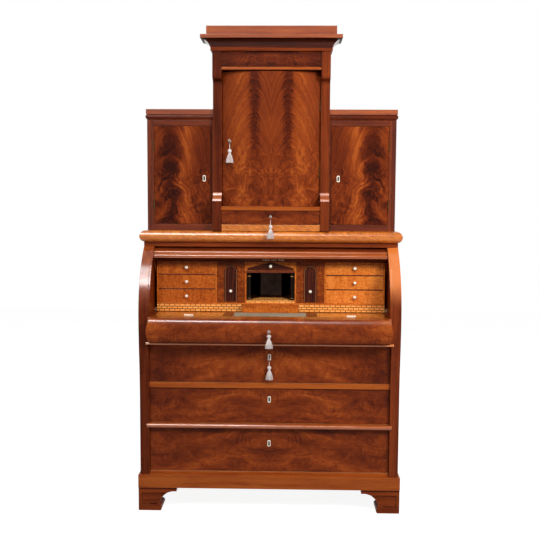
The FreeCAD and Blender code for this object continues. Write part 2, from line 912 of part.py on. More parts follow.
def make_long_drawers():
    face_y = at(sz.drawer_setback)
    face_back = face_y + sz.drawer_front_thickness
    gap = sz.drawer_gap
    half = half_inside - gap
    rows = (
        ("lower", lower_z, lower_bead_z, False),
        ("middle", middle_z, middle_rail_z, False),
        ("upper", upper_z, upper_bead_z, True),
    )
    box_back = inner_back - sz.drawer_back_clearance
    for name, low, high, keyed in rows:
        key_z = (low + high) / 2 + sz.escutcheon_length
        panel = board(across(half), (face_y, face_back), (low + gap, high - gap))
        if keyed:
            panel = cut(panel, keyhole(ZERO, face_y, key_z))
            key_and_tassel(
                f"{name}_drawer", ZERO, face_y, key_z,
                sz.key_reach, sz.tassel_stand_off, sz.tassel_cord_length,
            )
        group(f"{name}_drawer_front", [panel, escutcheon(ZERO, face_y, key_z, keyed)])
        low_edge = low + sz.running_gap
        box = drawer_box(half, (face_back, box_back), low_edge, high - sz.drawer_box_drop)
        group(f"{name}_drawer_box", box)


# Fitted interior
plinth_low = desk_z + sz.step_clearance
case_low = plinth_low + sz.interior_plinth_height - sz.step_clearance + sz.interior_board
case_floor_low = case_low - sz.interior_board
case_top = case_floor_low + sz.interior_height
case_ceiling = case_top - sz.interior_board
case_front = at(sz.interior_setback)
case_back = case_front + sz.interior_depth
half_case = half_inside - sz.interior_end_gap
case_inside = half_case - sz.interior_board
half_niche = sz.niche_width / 2
niche_wall = half_niche + sz.interior_board
document_end = niche_wall + sz.document_drawer_width
small_start = document_end + sz.interior_board
row_height = (case_ceiling - case_low - sz.interior_divider * 2) / 3
niche_low = case_low + sz.niche_sill_height
moulding_top = case_ceiling - sz.pediment_height
niche_top = moulding_top - sz.niche_moulding_height


def make_interior_plinth():
    depth = (case_front, case_front + sz.interior_plinth_depth)
    tall = (plinth_low, case_floor_low)
    half_step = sz.step_block_width / 2
    strip = board((half_step, half_case), depth, tall)
    step = board(across(half_step), (case_front - sz.step_block_projection, depth[1]), tall)
    deck = board(across(half_inside), (depth[1], inner_back), (plinth_low, plinth_low + sz.deck_thickness))
    bearer = board(
        across(half_case), (case_back - sz.interior_plinth_depth, case_back),
        (plinth_low + sz.deck_thickness, case_floor_low),
    )
    group("interior_plinth", [step, deck, bearer] + both_sides(strip))


def make_interior_case():
    thick = sz.interior_board
    depth = (case_front, case_back - thick)
    upright = (case_low, case_ceiling)
    pieces = [
        board(across(half_case), (case_front, case_back), (case_floor_low, case_low)),
        board(across(half_case), (case_front, case_back), (case_ceiling, case_top)),
        board(across(half_case), (case_back - thick, case_back), upright),
        board(across(half_niche), depth, (case_low, niche_low)),
        board(
            across(half_niche), (case_front - sz.niche_moulding_projection, depth[1]),
            (niche_top, moulding_top),
        ),
    ]
    pieces += both_sides(board((case_inside, half_case), depth, upright))
    pieces += both_sides(board((half_niche, niche_wall), depth, upright))
    pieces += both_sides(board((document_end, small_start), depth, upright))
    for row in (1, 2):
        low = case_low + row_height * row + sz.interior_divider * (row - 1)
        pieces += both_sides(board((small_start, case_inside), depth, (low, low + sz.interior_divider)))
    group("interior_case", pieces)


def make_niche():
    """A mirrored back with two canted mirrors, and a column at each side of the mouth."""
    half_mirror = sz.mirror_width / 2
    deep = case_front + sz.mirror_depth
    mouth = half_niche - sz.mirror_mouth_gap
    mouth_y = case_front + sz.column_inset + sz.column_block_radius + sz.mirror_mouth_gap
    thick = sz.mirror_thickness
    tall = niche_top - niche_low
    plane = board(across(half_mirror), (deep, deep + thick), (niche_low, niche_top))
    canted = padded(
        "XY_Plane",
        [
            (half_mirror, deep),
            (mouth, mouth_y),
            (half_niche, mouth_y),
            (half_mirror, deep + thick),
        ],
        niche_low, tall,
    )
    group("niche_mirror", [plane] + both_sides(canted))

    ring_low = tall - sz.column_block_height * 2
    column = turned([
        (ZERO, ZERO),
        (sz.column_block_radius, ZERO),
        (sz.column_block_radius, sz.column_block_height),
        (sz.column_radius, sz.column_block_height),
        (sz.column_top_radius, ring_low),
        (sz.column_ring_radius, ring_low),
        (sz.column_ring_radius, ring_low + sz.column_ring_height),
        (sz.column_top_radius, ring_low + sz.column_ring_height),
        (sz.column_top_radius, tall - sz.column_block_height),
        (sz.column_block_radius, tall - sz.column_block_height),
        (sz.column_block_radius, tall),
        (ZERO, tall),
    ])
    place(column, sz.column_offset, case_front + sz.column_inset, niche_low)
    group("niche_columns", both_sides(column))


def knob(x, face_y, z):
    """A turned knob with a collar, standing forwards from a face."""
    neck = sz.knob_collar_length + sz.knob_neck_length
    ball = sz.knob_radius
    tip = neck + ball * 2 - sz.knob_collar_length
    body = turned([
        (ZERO, ZERO),
        (sz.knob_collar_radius, ZERO),
        (sz.knob_collar_radius, sz.knob_collar_length),
        (sz.knob_neck_radius, sz.knob_collar_length),
        (sz.knob_neck_radius, neck - sz.knob_collar_length, ball),
        (ball, neck - sz.knob_collar_length + ball * knob_waist_share, ball),
        (ball * knob_nose_share, tip),
        (ZERO, tip),
    ])
    body.Placement.Rotation = FreeCAD.Rotation(FreeCAD.Vector(1, 0, 0), QUARTER_TURN)
    place(body, x, face_y, z)
    return body


def small_drawer(x, low, high, trim):
    """A drawer of the interior: front, knob and box, with any trim on its front."""
    gap = sz.small_gap
    left, right = x[0] + gap, x[1] - gap
    face_y = case_front + sz.small_front_recess
    face_back = face_y + sz.small_front_thickness
    box_back = case_back - sz.interior_board - sz.small_drawer_back_clearance
    low_edge = low + sz.running_gap
    side = sz.small_side_thickness
    floor_top = low_edge + sz.small_bottom_thickness
    box_top = high - gap * 2 - sz.small_bottom_thickness
    return trim(face_y) + [
        board((left, right), (face_y, face_back), (low_edge, high - gap)),
        board((left, right), (face_back, box_back), (low_edge, floor_top)),
        board((left, left + side), (face_back, box_back), (floor_top, box_top)),
        board((right - side, right), (face_back, box_back), (floor_top, box_top)),
        board((left + side, right - side), (box_back - side, box_back), (floor_top, box_top)),
    ]


def make_small_drawers():
    middle = (small_start + case_inside) / 2
    for row, name in enumerate(SMALL_DRAWER_ROWS):
        low = case_low + (row_height + sz.interior_divider) * row
        high = low + row_height
        knob_z = (low + high) / 2

        def trim(face_y):
            return [knob(middle, face_y, knob_z)]

        right = group(f"right_{name}_drawer", small_drawer((small_start, case_inside), low, high, trim))
        node(f"left_{name}_drawer", mirrored(right))

    arch_middle = (niche_wall + document_end) / 2
    half_arch = sz.arch_width / 2
    arch_low = case_low + sz.arch_foot
    arch_spring = case_ceiling - sz.arch_head - half_arch
    arch_crown = case_ceiling - sz.arch_head

    def arched(face_y):
        plate = padded(
            "XZ_Plane",
            [
                (arch_middle - half_arch, arch_low),
                (arch_middle + half_arch, arch_low),
                (arch_middle + half_arch, arch_spring, half_arch),
                (arch_middle, arch_crown, half_arch),
                (arch_middle - half_arch, arch_spring),
            ],
            face_y, sz.arch_plate,
        )
        knob_y = face_y - sz.arch_plate
        return [plate, knob(arch_middle, knob_y, case_low + sz.document_knob_rise)]

    right = group(
        "right_document_drawer", small_drawer((niche_wall, document_end), case_low, case_ceiling, arched)
    )
    node("left_document_drawer", mirrored(right))

    def gable(face_y):
        low = moulding_top + sz.interior_divider / 2
        eaves = low + sz.pediment_end_height
        ridge = case_ceiling - sz.interior_divider
        half = half_niche - sz.interior_divider
        plate = padded(
            "XZ_Plane",
            [(-half, low), (half, low), (half, eaves), (ZERO, ridge), (-half, eaves)],
            face_y, sz.pediment_plate,
        )
        return [plate, knob(ZERO, face_y - sz.pediment_plate, (low + ridge) / 2)]

    group("pediment_drawer", small_drawer((-half_niche, half_niche), moulding_top, case_ceiling, gable))


# Upper cabinets
half_side_case = half_body - sz.side_case_inset
half_centre = sz.centre_width / 2
side_case_top = slab_top_z + sz.side_case_height
face_y = at(sz.side_case_setback)
face_back = face_y + sz.face_thickness
door_low = slab_top_z + sz.side_bottom_rail
door_high = side_case_top - sz.side_top_rail
stile_inner = half_side_case - sz.side_stile_width
inner_edge = half_centre + sz.centre_case_gap
door_inner = half_centre + sz.side_inner_stile
hinge_offset = sz.hinge_radius + sz.running_gap


def make_side_cabinets():
    tall = (slab_top_z, side_case_top)
    outer = half_side_case - sz.case_board
    inner = inner_edge + sz.case_inner_board
    deep = (face_back, inner_back)
    rail = (door_inner, stile_inner)
    face = (face_y, face_back)
    pieces = [
        board((outer, half_side_case), (face_y, back), tall),
        board((inner_edge, inner), deep, tall),
        board((inner_edge, outer), (inner_back, back), tall),
        board((inner, outer), deep, (door_low - sz.case_floor, door_low)),
        board((inner, outer), deep, (side_case_top - sz.case_floor, side_case_top)),
        board((stile_inner, outer), face, tall),
        board((inner_edge, door_inner), face, tall),
        board(rail, face, (slab_top_z, door_low)),
        board(rail, face, (door_high, side_case_top)),
    ]
    right = group("right_cabinet_case", pieces)
    node("left_cabinet_case", mirrored(right))

    gap = sz.door_gap
    leaf = board(
        (door_inner + gap, stile_inner - gap), (face_y, face_y + sz.door_thickness),
        (door_low + gap, door_high - gap),
    )
    plate = escutcheon(door_inner + sz.side_escutcheon_inset, face_y, door_low + sz.side_escutcheon_rise)
    right = group("right_door", [leaf, plate])
    node("left_door", mirrored(right))

    top_z = side_case_top + sz.side_top_height
    bead_low = side_case_top + sz.side_top_neck
    bead_high = bead_low + sz.side_top_bead_height
    bead = rise_radius(sz.side_top_bead_height, sz.side_top_bead_rise)
    front_view = [
        (inner_edge, side_case_top),
        (half_side_case, side_case_top),
        (half_side_case, bead_low, bead),
        (half_side_case, bead_high),
        (half_side_case + sz.side_top_overhang, bead_high),
        (half_side_case + sz.side_top_overhang, top_z),
        (inner_edge, top_z),
    ]
    side_view = [
        (back, side_case_top),
        (back, top_z),
        (face_y - sz.side_top_overhang, top_z),
        (face_y - sz.side_top_overhang, bead_high),
        (face_y, bead_high, bead),
        (face_y, bead_low),
        (face_y, side_case_top),
    ]
    proud = half_side_case + sz.side_top_bead_rise - inner_edge
    top = common(
        padded("XZ_Plane", front_view, back, back - face_y + sz.side_top_bead_rise),
        padded("YZ_Plane", side_view, inner_edge, proud),
    )
    group("side_cabinet_tops", both_sides(top))


strip_z = slab_top_z + sz.base_strip_height
rail_z = strip_z + sz.centre_drawer_height
centre_door_z = rail_z + sz.centre_rail_height
bead_z = centre_door_z + sz.centre_door_height
panel_z = bead_z + sz.bead_strip_height
cornice_z = panel_z + sz.frieze_panel_height
pilaster_inner = half_centre - sz.pilaster_width
block_y = at(sz.block_setback)
pilaster_back = block_y + sz.pilaster_depth


def make_centre_cabinet():
    side_inner = half_centre - sz.case_board
    thick = sz.case_floor
    deep = (pilaster_back, inner_back)
    centre_y = at(sz.centre_face_setback)
    centre_back = centre_y + sz.centre_face_thickness
    pieces = [board(across(side_inner), (inner_back, back), (slab_top_z, cornice_z))]
    for top in (strip_z, centre_door_z, cornice_z):
        pieces.append(board(across(side_inner), deep, (top - thick, top)))
        pieces.append(board(across(pilaster_inner), (centre_back, pilaster_back), (top - thick, top)))
    pieces += both_sides(board((side_inner, half_centre), (pilaster_back, back), (slab_top_z, cornice_z)))
    group("centre_cabinet_case", pieces)

    recess = block_y + sz.pilaster_recess
    half_recess = sz.pilaster_recess / 2
    half_scroll = sz.scroll_height / 2
    scroll = (half_scroll * half_scroll + half_recess * half_recess) / sz.pilaster_recess
    lower = slab_top_z + sz.lower_block_height
    upper = cornice_z - sz.upper_block_height
    profile = [
        (pilaster_back, slab_top_z),
        (pilaster_back, cornice_z),
        (block_y, cornice_z),
        (block_y, upper, scroll),
        (block_y + half_recess, upper - half_scroll, -scroll),
        (recess, upper - sz.scroll_height),
        (recess, lower + sz.scroll_height, -scroll),
        (block_y + half_recess, lower + half_scroll, scroll),
        (block_y, lower),
        (block_y, slab_top_z),
    ]
    pilaster = padded("YZ_Plane", profile, pilaster_inner, sz.pilaster_width)
    group("centre_pilasters", both_sides(pilaster))

    face = (centre_y, centre_back)
    rail_y = at(sz.centre_rail_setback)
    nose = rise_radius(sz.bead_strip_height, sz.bead_strip_rise)
    bead_profile = [
        (centre_back, bead_z),
        (centre_back, panel_z),
        (rail_y + sz.bead_strip_rise, panel_z, nose),
        (rail_y + sz.bead_strip_rise, bead_z),
    ]
    group("centre_rails", [
        board(across(pilaster_inner), face, (slab_top_z, strip_z)),
        board(across(pilaster_inner), (rail_y, centre_back), (rail_z, centre_door_z)),
        padded("YZ_Plane", bead_profile, -pilaster_inner, pilaster_inner * 2),
        board(across(pilaster_inner), face, (panel_z, cornice_z)),
    ])
    make_centre_door()
    make_centre_drawer(centre_y)
    make_cornice()


def make_centre_door():
    """A door bowed forwards in plan, hinged at its right edge."""
    gap = sz.door_gap
    half = pilaster_inner - gap
    edge = at(sz.bow_setback + sz.bow_rise)
    bow = rise_radius(half * 2, sz.bow_rise)
    plan = [
        (-half, edge, bow),
        (half, edge),
        (half, edge + sz.bow_door_thickness, -bow),
        (-half, edge + sz.bow_door_thickness),
    ]
    leaf = padded("XY_Plane", plan, centre_door_z + gap, sz.centre_door_height - gap * 2)
    key_x = -half + sz.centre_key_inset
    key_z = centre_door_z + sz.centre_key_rise
    key_share = (half - sz.centre_key_inset) / half
    key_y = at(sz.bow_setback) + sz.bow_rise * key_share * key_share
    node("centre_door", cut(leaf, keyhole(key_x, key_y, key_z)))
    key_and_tassel(
        "centre_door", key_x, key_y, key_z,
        sz.centre_key_reach, sz.centre_tassel_stand_off, sz.tassel_cord_length,
    )


def make_centre_drawer(centre_y):
    gap = sz.drawer_gap
    half = pilaster_inner - gap
    key_z = (strip_z + rail_z) / 2 + sz.key_radius
    depth = centre_y + sz.drawer_front_thickness
    leaf = board(across(half), (centre_y, depth), (strip_z + gap, rail_z - gap))
    box_top = rail_z - sz.centre_drawer_drop
    box_back = inner_back - sz.centre_drawer_back_clearance
    box = drawer_box(half, (depth, box_back), strip_z + sz.running_gap, box_top)
    group("centre_drawer", [cut(leaf, keyhole(ZERO, centre_y, key_z))] + box)
    key_and_tassel(
        "centre_drawer", ZERO, centre_y, key_z,
        sz.centre_key_reach, sz.centre_tassel_stand_off, sz.tassel_cord_length,
    )


def make_cornice():
    neck_z = cornice_z + sz.cornice_neck
    cove_z = neck_z + sz.cove_height
    top_z = cove_z + sz.cornice_fillet_height

    def moulding(plane, turn):
        """The moulding's edge at one side, from the bottom up."""
        out = as_size(turn)
        return [
            (plane + out * sz.cornice_neck_overhang, cornice_z),
            (plane + out * sz.cornice_neck_overhang, neck_z, sz.cove_radius * -turn),
            (plane + out * sz.cove_overhang, cove_z),
            (plane + out * sz.cornice_overhang, cove_z),
            (plane + out * sz.cornice_overhang, top_z),
        ]

    def reversed_moulding(plane):
        """The same edge at the left, from the top down, with its arc turned the other way."""
        edge = moulding(plane, -1)
        down = [corner[:2] for corner in reversed(edge)]
        down[2] = down[2] + (-sz.cove_radius,)
        return down

    front_view = moulding(half_centre, 1) + reversed_moulding(-half_centre)
    return_end = block_y + sz.cornice_return
    side_view = [(return_end, cornice_z), (return_end, top_z)] + reversed_moulding(block_y)
    reach = half_centre + sz.cornice_overhang
    crown = common(
        padded("XZ_Plane", front_view, return_end, sz.cornice_return + sz.cornice_overhang),
        padded("YZ_Plane", side_view, -reach, reach * 2),
    )
    block = board(
        across(half_centre + sz.top_block_overhang),
        (block_y - sz.top_block_overhang, back),
        (top_z, top_z + sz.top_block_height),
    )
    cap = board(across(half_centre), (return_end, back), (cornice_z, top_z))
    group("cornice", [crown, cap, block])


def make_hinge_pins():
    """Knuckles of the three doors, and the pivots of the cylinder."""
    pins = []
    side_y = face_y - hinge_offset
    long = sz.hinge_length
    for low in (door_low + sz.hinge_inset, door_high - sz.hinge_inset - long):
        pins += both_sides(rod(sz.hinge_radius, long, stile_inner, side_y, low))
    bow_edge = at(sz.bow_setback + sz.bow_rise)
    hinge_x = pilaster_inner - hinge_offset
    for low in (centre_door_z + sz.hinge_inset * 2, bead_z - sz.hinge_inset * 2 - long):
        pins.append(rod(sz.hinge_radius, long, hinge_x, bow_edge - hinge_offset * bow_hinge_share, low))
    pivot = doc.addObject("Part::Cylinder", "pivot")
    bind(pivot, "Radius", sz.pivot_radius)
    bind(pivot, "Height", half_inside - half_roll)
    pivot.Placement.Rotation = FreeCAD.Rotation(FreeCAD.Vector(0, 1, 0), QUARTER_TURN)
    place(pivot, half_roll, axis_y, axis_z)
    group("hinge_pins", pins + both_sides(pivot))


make_sides()
make_carcase()
make_desk_top()
make_cylinder()
make_slide()
make_long_drawers()
make_interior_plinth()
make_interior_case()
make_niche()
make_small_drawers()
make_side_cabinets()
make_centre_cabinet()
make_hinge_pins()
doc.recompute()

for item in doc.Objects:
    if "Invalid" in item.State or "Error" in item.State:
        raise RuntimeError(f"{item.Label} failed: {item.State}")
for item in nodes:
    if item.Shape.isNull() or not item.Shape.isValid():
        raise RuntimeError(f"{item.Label} has no valid shape")
os.makedirs("parts", exist_ok=True)
for item in nodes:
    item.Shape.exportStep(f"parts/{item.Label}.step")
print(len(nodes), "sub-parts")
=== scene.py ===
import json
import math

import bmesh
import bpy
from mathutils import Matrix, Vector

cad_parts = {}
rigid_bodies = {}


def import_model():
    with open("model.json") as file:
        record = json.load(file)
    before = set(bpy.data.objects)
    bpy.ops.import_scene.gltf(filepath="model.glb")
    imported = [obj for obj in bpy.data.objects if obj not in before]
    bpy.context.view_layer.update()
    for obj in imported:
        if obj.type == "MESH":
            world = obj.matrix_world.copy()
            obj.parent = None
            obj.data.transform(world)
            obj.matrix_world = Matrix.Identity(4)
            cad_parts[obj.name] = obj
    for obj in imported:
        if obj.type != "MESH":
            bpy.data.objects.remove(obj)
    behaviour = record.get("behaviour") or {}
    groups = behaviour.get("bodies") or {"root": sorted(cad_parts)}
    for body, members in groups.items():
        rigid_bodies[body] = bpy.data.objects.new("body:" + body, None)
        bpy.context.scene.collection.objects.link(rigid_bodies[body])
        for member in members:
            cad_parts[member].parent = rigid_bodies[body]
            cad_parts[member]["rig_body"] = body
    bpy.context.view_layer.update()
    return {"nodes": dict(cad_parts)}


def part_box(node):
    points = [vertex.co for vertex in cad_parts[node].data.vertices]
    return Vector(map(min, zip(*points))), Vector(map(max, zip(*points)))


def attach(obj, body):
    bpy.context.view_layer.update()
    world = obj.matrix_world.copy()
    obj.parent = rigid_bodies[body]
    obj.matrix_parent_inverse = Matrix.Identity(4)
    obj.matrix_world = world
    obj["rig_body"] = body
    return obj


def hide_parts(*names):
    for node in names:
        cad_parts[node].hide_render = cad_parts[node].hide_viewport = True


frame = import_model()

scene = bpy.context.scene
scene.view_settings.view_transform = "Standard"

# camera, measured from the photograph: metres and degrees
photoView = {"lens": 54.95, "sensor": 36, "far": 50, "place": (0.08, -3.598, 1.321),
             "pitch": 5.1, "yaw": 1.344, "roll": 0.30}


def setCamera():
    data = bpy.data.cameras.new("photoCamera")
    data.lens = photoView["lens"]
    data.sensor_width = photoView["sensor"]
    data.clip_end = photoView["far"]
    camera = bpy.data.objects.new("photoCamera", data)
    camera.location = photoView["place"]
    turn = Matrix.Rotation(math.radians(photoView["yaw"]), 4, "Z")
    tilt = Matrix.Rotation(math.radians(90 - photoView["pitch"]), 4, "X")
    roll = Matrix.Rotation(math.radians(photoView["roll"]), 4, "Z")
    camera.rotation_euler = (turn @ tilt @ roll).to_euler()
    scene.collection.objects.link(camera)
    scene.camera = camera


setCamera()
print("camera set")


# a colour as seen on screen, 0 to 255, to the linear value that shaders take
def tone(r, g, b):
    def linear(c):
        c = c / 255
        return c / 12.92 if c <= 0.04045 else ((c + 0.055) / 1.055) ** 2.4
    return (linear(r), linear(g), linear(b), 1.0)


# one shader socket, with arithmetic
class Wire:
    def __init__(self, nodes, socket):
        self.nodes, self.socket = nodes, socket

    def math(self, operation, *values):
        return self.nodes.node("ShaderNodeMath", {"operation": operation}, dict(enumerate(values)))

    def __add__(self, other): return self.math("ADD", self, other)
    def __radd__(self, other): return self.math("ADD", other, self)
    def __sub__(self, other): return self.math("SUBTRACT", self, other)
    def __rsub__(self, other): return self.math("SUBTRACT", other, self)
    def __mul__(self, other): return self.math("MULTIPLY", self, other)
    def __rmul__(self, other): return self.math("MULTIPLY", other, self)
    def __truediv__(self, other): return self.math("DIVIDE", self, other)
    def __pow__(self, other): return self.math("POWER", self, other)
    def __neg__(self): return self.math("MULTIPLY", self, -1.0)
    def __abs__(self): return self.math("ABSOLUTE", self)

    def least(self, other): return self.math("MINIMUM", self, other)
    def most(self, other): return self.math("MAXIMUM", self, other)
    def bell(self): return self.math("EXPONENT", -(self * self))

    # a noise about its middle
    def swing(self, amount): return (self - 0.5) * amount

    # 0 below low, 1 above high, smooth between
    def step(self, low, high):
        return self.nodes.node(
            "ShaderNodeMapRange", {"interpolation_type": "SMOOTHSTEP"},
            {"Value": self, "From Min": low, "From Max": high, "To Min": 0.0, "To Max": 1.0})

    def drop(self, low, high): return 1.0 - self.step(low, high)


# one node tree
class Nodes:
    def __init__(self, tree):
        self.tree = tree

    def node(self, kind, settings=None, sockets=None, output=0):
        item = self.tree.nodes.new(kind)
        for key, value in (settings or {}).items():
            if key == "stops":
                while len(item.color_ramp.elements) < len(value):
                    item.color_ramp.elements.new(0.5)
                for element, (place, colour) in zip(item.color_ramp.elements, value):
                    element.position, element.color = place, tone(*colour)
            else:
                setattr(item, key, value)
        for key, value in (sockets or {}).items():
            if isinstance(value, Wire):
                self.tree.links.new(value.socket, item.inputs[key])
            else:
                item.inputs[key].default_value = value
        return Wire(self, item.outputs[output])

    # 1 for rays that should find the white surround
    def surround(self):
        rays = [self.node("ShaderNodeLightPath", output=ray)
                for ray in ("Is Camera Ray", "Is Transmission Ray", "Is Glossy Ray")]
        return rays[0].most(rays[1]).most(rays[2])

    # two shaders mixed and taken to the output
    def show(self, amount, below, above, output):
        mix = self.node("ShaderNodeMixShader", None, {0: amount, 1: below, 2: above})
        self.tree.links.new(mix.socket, self.tree.nodes[output].inputs["Surface"])


# one material
class Finish(Nodes):
    def __init__(self, name, settings):
        self.material = bpy.data.materials.new(name)
        self.material.use_nodes = True
        super().__init__(self.material.node_tree)
        self.shader = self.tree.nodes["Principled BSDF"]
        for socket, value in settings.items():
            self.shader.inputs[socket].default_value = value

    def feed(self, socket, wire):
        self.tree.links.new(wire.socket, self.shader.inputs[socket])

    def mark(self, name, output="Fac"):
        return self.node("ShaderNodeAttribute", {"attribute_name": name}, output=output)

    # object coordinates in metres, shifted from board to board
    def place(self, vary=True):
        spot = self.node("ShaderNodeTexCoord", output="Object")
        if vary:
            pick = self.mark("pick")
            shift = self.join(pick * 3.1, pick * 1.7, pick * 2.3)
            spot = self.node("ShaderNodeVectorMath", {"operation": "ADD"}, {0: spot, 1: shift})
        return self.split(spot)

    def split(self, vector):
        item = self.node("ShaderNodeSeparateXYZ", None, {0: vector}).socket.node
        return [Wire(self, out) for out in item.outputs]

    # coordinates turned so that the grain runs along the first
    def grained(self, axis, vary=True):
        x, y, z = self.place(vary)
        return {"x": (x, z, y), "z": (z, x, y), "y": (y, x, z)}[axis]

    def join(self, x, y, z):
        return self.node("ShaderNodeCombineXYZ", None, {"X": x, "Y": y, "Z": z})

    def noise(self, place, detail=3.0, rough=0.55, bend=0.0, scale=1.0):
        return self.node("ShaderNodeTexNoise", None, {
            "Vector": self.join(*place), "Scale": scale, "Detail": detail, "Roughness": rough, "Distortion": bend})

    # noise drawn out along a board's grain
    def fibres(self, board, lengthwise, crosswise, detail=3.0, rough=0.55, bend=0.0):
        along, across, through = board
        return self.noise((along * lengthwise, across * crosswise, through * crosswise), detail, rough, bend)

    # stops are places with colours as seen on screen
    def ramp(self, value, stops):
        return self.node("ShaderNodeValToRGB", {"stops": stops}, {"Fac": value})

    def blend(self, amount, below, above):
        return self.node("ShaderNodeMix", {"data_type": "RGBA"}, {0: amount, 6: below, 7: above}, output=2)

    def done(self, colour, roughness):
        self.feed("Base Color", colour)
        self.feed("Roughness", roughness)
        return self.material

    def bump(self, height, strength, depth):
        self.feed("Normal", self.node("ShaderNodeBump", None, {
            "Strength": strength, "Distance": depth, "Height": height}))


def polished(name, haze=0.08, index=1.55):
    return Finish(name, {"IOR": 1.45, "Specular IOR Level": 0.03, "Coat Roughness": haze, "Coat IOR": index})


# grains are scales along and across the board, then detail, roughness and bend
polish = {"pores": (45.0, 1300.0, 2.0, 0.5), "pit": (0.60, 0.72), "pitTone": (44, 17, 11), "rub": 38.0,
          "worn": (0.45, 0.62), "wornTone": (190, 108, 52), "bump": (0.16, 0.0004)}
mahoganyGrain = {"sway": (2.2, 3.0, 2.0), "ribbon": (1.6, 46.0, 3.0, 0.6), "fibre": (14.0, 420.0, 3.0, 0.6),
                 "cloud": (5.0, 9.0, 2.0)}
mahoganyStops = [(0.05, (172, 86, 32)), (0.30, (138, 60, 22)), (0.52, (112, 45, 17)), (0.76, (84, 30, 12)),
                 (1.0, (48, 16, 8))]


# pores, worn edges and gloss that every polished wood here shares
def polishOver(finish, colour, board, gloss=0.30, wear=0.30, pores=0.40, coat=0.07):
    pit = finish.fibres(board, *polish["pores"]).step(*polish["pit"])
    colour = finish.blend(pit * pores, colour, tone(*polish["pitTone"]))
    rub = finish.noise(board, 4.0, 0.65, scale=polish["rub"])
    worn = finish.mark("edge") * rub.step(*polish["worn"]) * wear
    colour = finish.blend(worn, colour, tone(*polish["wornTone"]))
    finish.feed("Coat Weight", coat * (1.0 - pit * 0.8 - worn * 0.7))
    finish.bump(pit * -1.0 + rub * 0.25, *polish["bump"])
    return finish.done(colour, gloss + rub.swing(0.16) + pit * 0.12)


# straight-grained mahogany: soft ribbons, fibres and pores
def plainMahogany(name, axis, shift=0.0, coat=0.07, lift=None, index=1.55, haze=0.08):
    finish = polished(name, haze, index)
    board = finish.grained(axis)
    if lift:
        # depth, gloss and tint that change with height: painted light on the swept edges and the upper bead, a darker
        # upper part on the front feet
        risen = finish.place(vary=False)[2].step(lift["low"], lift["high"])
        shift = risen * -lift["by"] + shift
        coat = risen * lift["coat"] + coat
    along, across, through = board
    swayed = (along, across + finish.fibres(board, *mahoganyGrain["sway"]).swing(0.05), through)
    ribbon = finish.fibres(swayed, *mahoganyGrain["ribbon"])
    fibre = finish.fibres(swayed, *mahoganyGrain["fibre"])
    cloud = finish.fibres(board, *mahoganyGrain["cloud"])
    depth = ribbon.swing(0.75) + fibre.swing(0.42) + cloud.swing(0.35) + shift + 0.46
    colour = finish.ramp(depth, mahoganyStops)
    if lift and lift["tint"]:
        # painted light: a warm orange laid over the wood, on the right swept edge and the upper bead
        colour = finish.blend(risen * lift["tint"], colour, tone(238, 136, 62))
    return polishOver(finish, colour, board, coat=coat)


# crotch veneer, matched left and right: ragged dark feathers, fibres that fall away on both sides, curls lower down
def flameMahogany(name, figure):
    finish = polished(name)
    x, y, z = finish.place(vary=False)
    seed = figure["seed"]
    side = abs(x) - figure["feather"]
    rise = z - figure["middle"]
    low = (-rise).step(figure["curlFrom"], figure["curlTo"])
    stir = low * figure["curl"] + figure["sway"]
    swirl = finish.noise((side, rise, seed), 3.0, 0.55, 0.4, scale=figure["swirl"]) - 0.5
    swirl2 = finish.noise((side, rise, seed + 4.3), 3.0, 0.55, 0.4, scale=figure["swirl"] * 1.3) - 0.5
    side2 = side + swirl * stir
    rise2 = rise + swirl2 * stir * 1.3
    jag = finish.noise((side, rise * 0.6, seed + 7.0), 3.0, 0.6, scale=70.0) - 0.5
    away = abs(side2 + jag * 0.018) + 0.0005
    inner = side2.drop(-0.006, 0.006)
    barb = rise2 + jag * 0.030 + (away ** figure["bend"]) * ((inner * figure["inward"] + 1.0) * figure["fall"])
    streak = finish.noise((barb * figure["barbs"], away * 6.0, seed), 4.0, 0.62)
    tuft = finish.noise((barb * figure["tufts"], away * 16.0, seed + 3.0), 3.0, 0.6)
    fine = finish.noise((barb * 320.0, away * 24.0, seed + 1.0), 3.0, 0.62)
    cloud = finish.noise((side2 * 7.0, rise2 * 4.0, seed + 2.0))
    curls = finish.noise((side2 * 34.0, rise2 * 22.0, seed + 9.0), 5.0, 0.62, 1.6) - 0.5
    ragged = away - (tuft - 0.45) * figure["ragged"] - streak.swing(figure["ragged"]) * 1.3
    core = ragged.drop(figure["width"] * 0.25, figure["width"])
    fleck = finish.noise((side2 * 130.0, rise2 * 55.0, seed + 5.0), 3.0, 0.6)
    heart = core * (tuft * 0.7 + fleck * 0.9 + 0.1) * (1.0 - low * figure["fade"])
    amber = ((away - figure["amber"]) / 0.038).bell() * (side2 * figure["amberSide"]).step(0.0, 0.02)
    rim = (abs(abs(x) - figure["feather"]) - figure["rim"]).step(0.0, 0.06)
    depth = figure["base"] + heart * figure["heart"] + streak.swing(figure["contrast"]) + fine.swing(0.42)
    depth = depth + cloud.swing(figure["cloud"]) + curls * (low * 1.25 + 0.15) - amber * figure["glow"] + rim * 0.14
    return polishOver(finish, finish.ramp(depth, mahoganyStops), (z, x, y), coat=0.04)


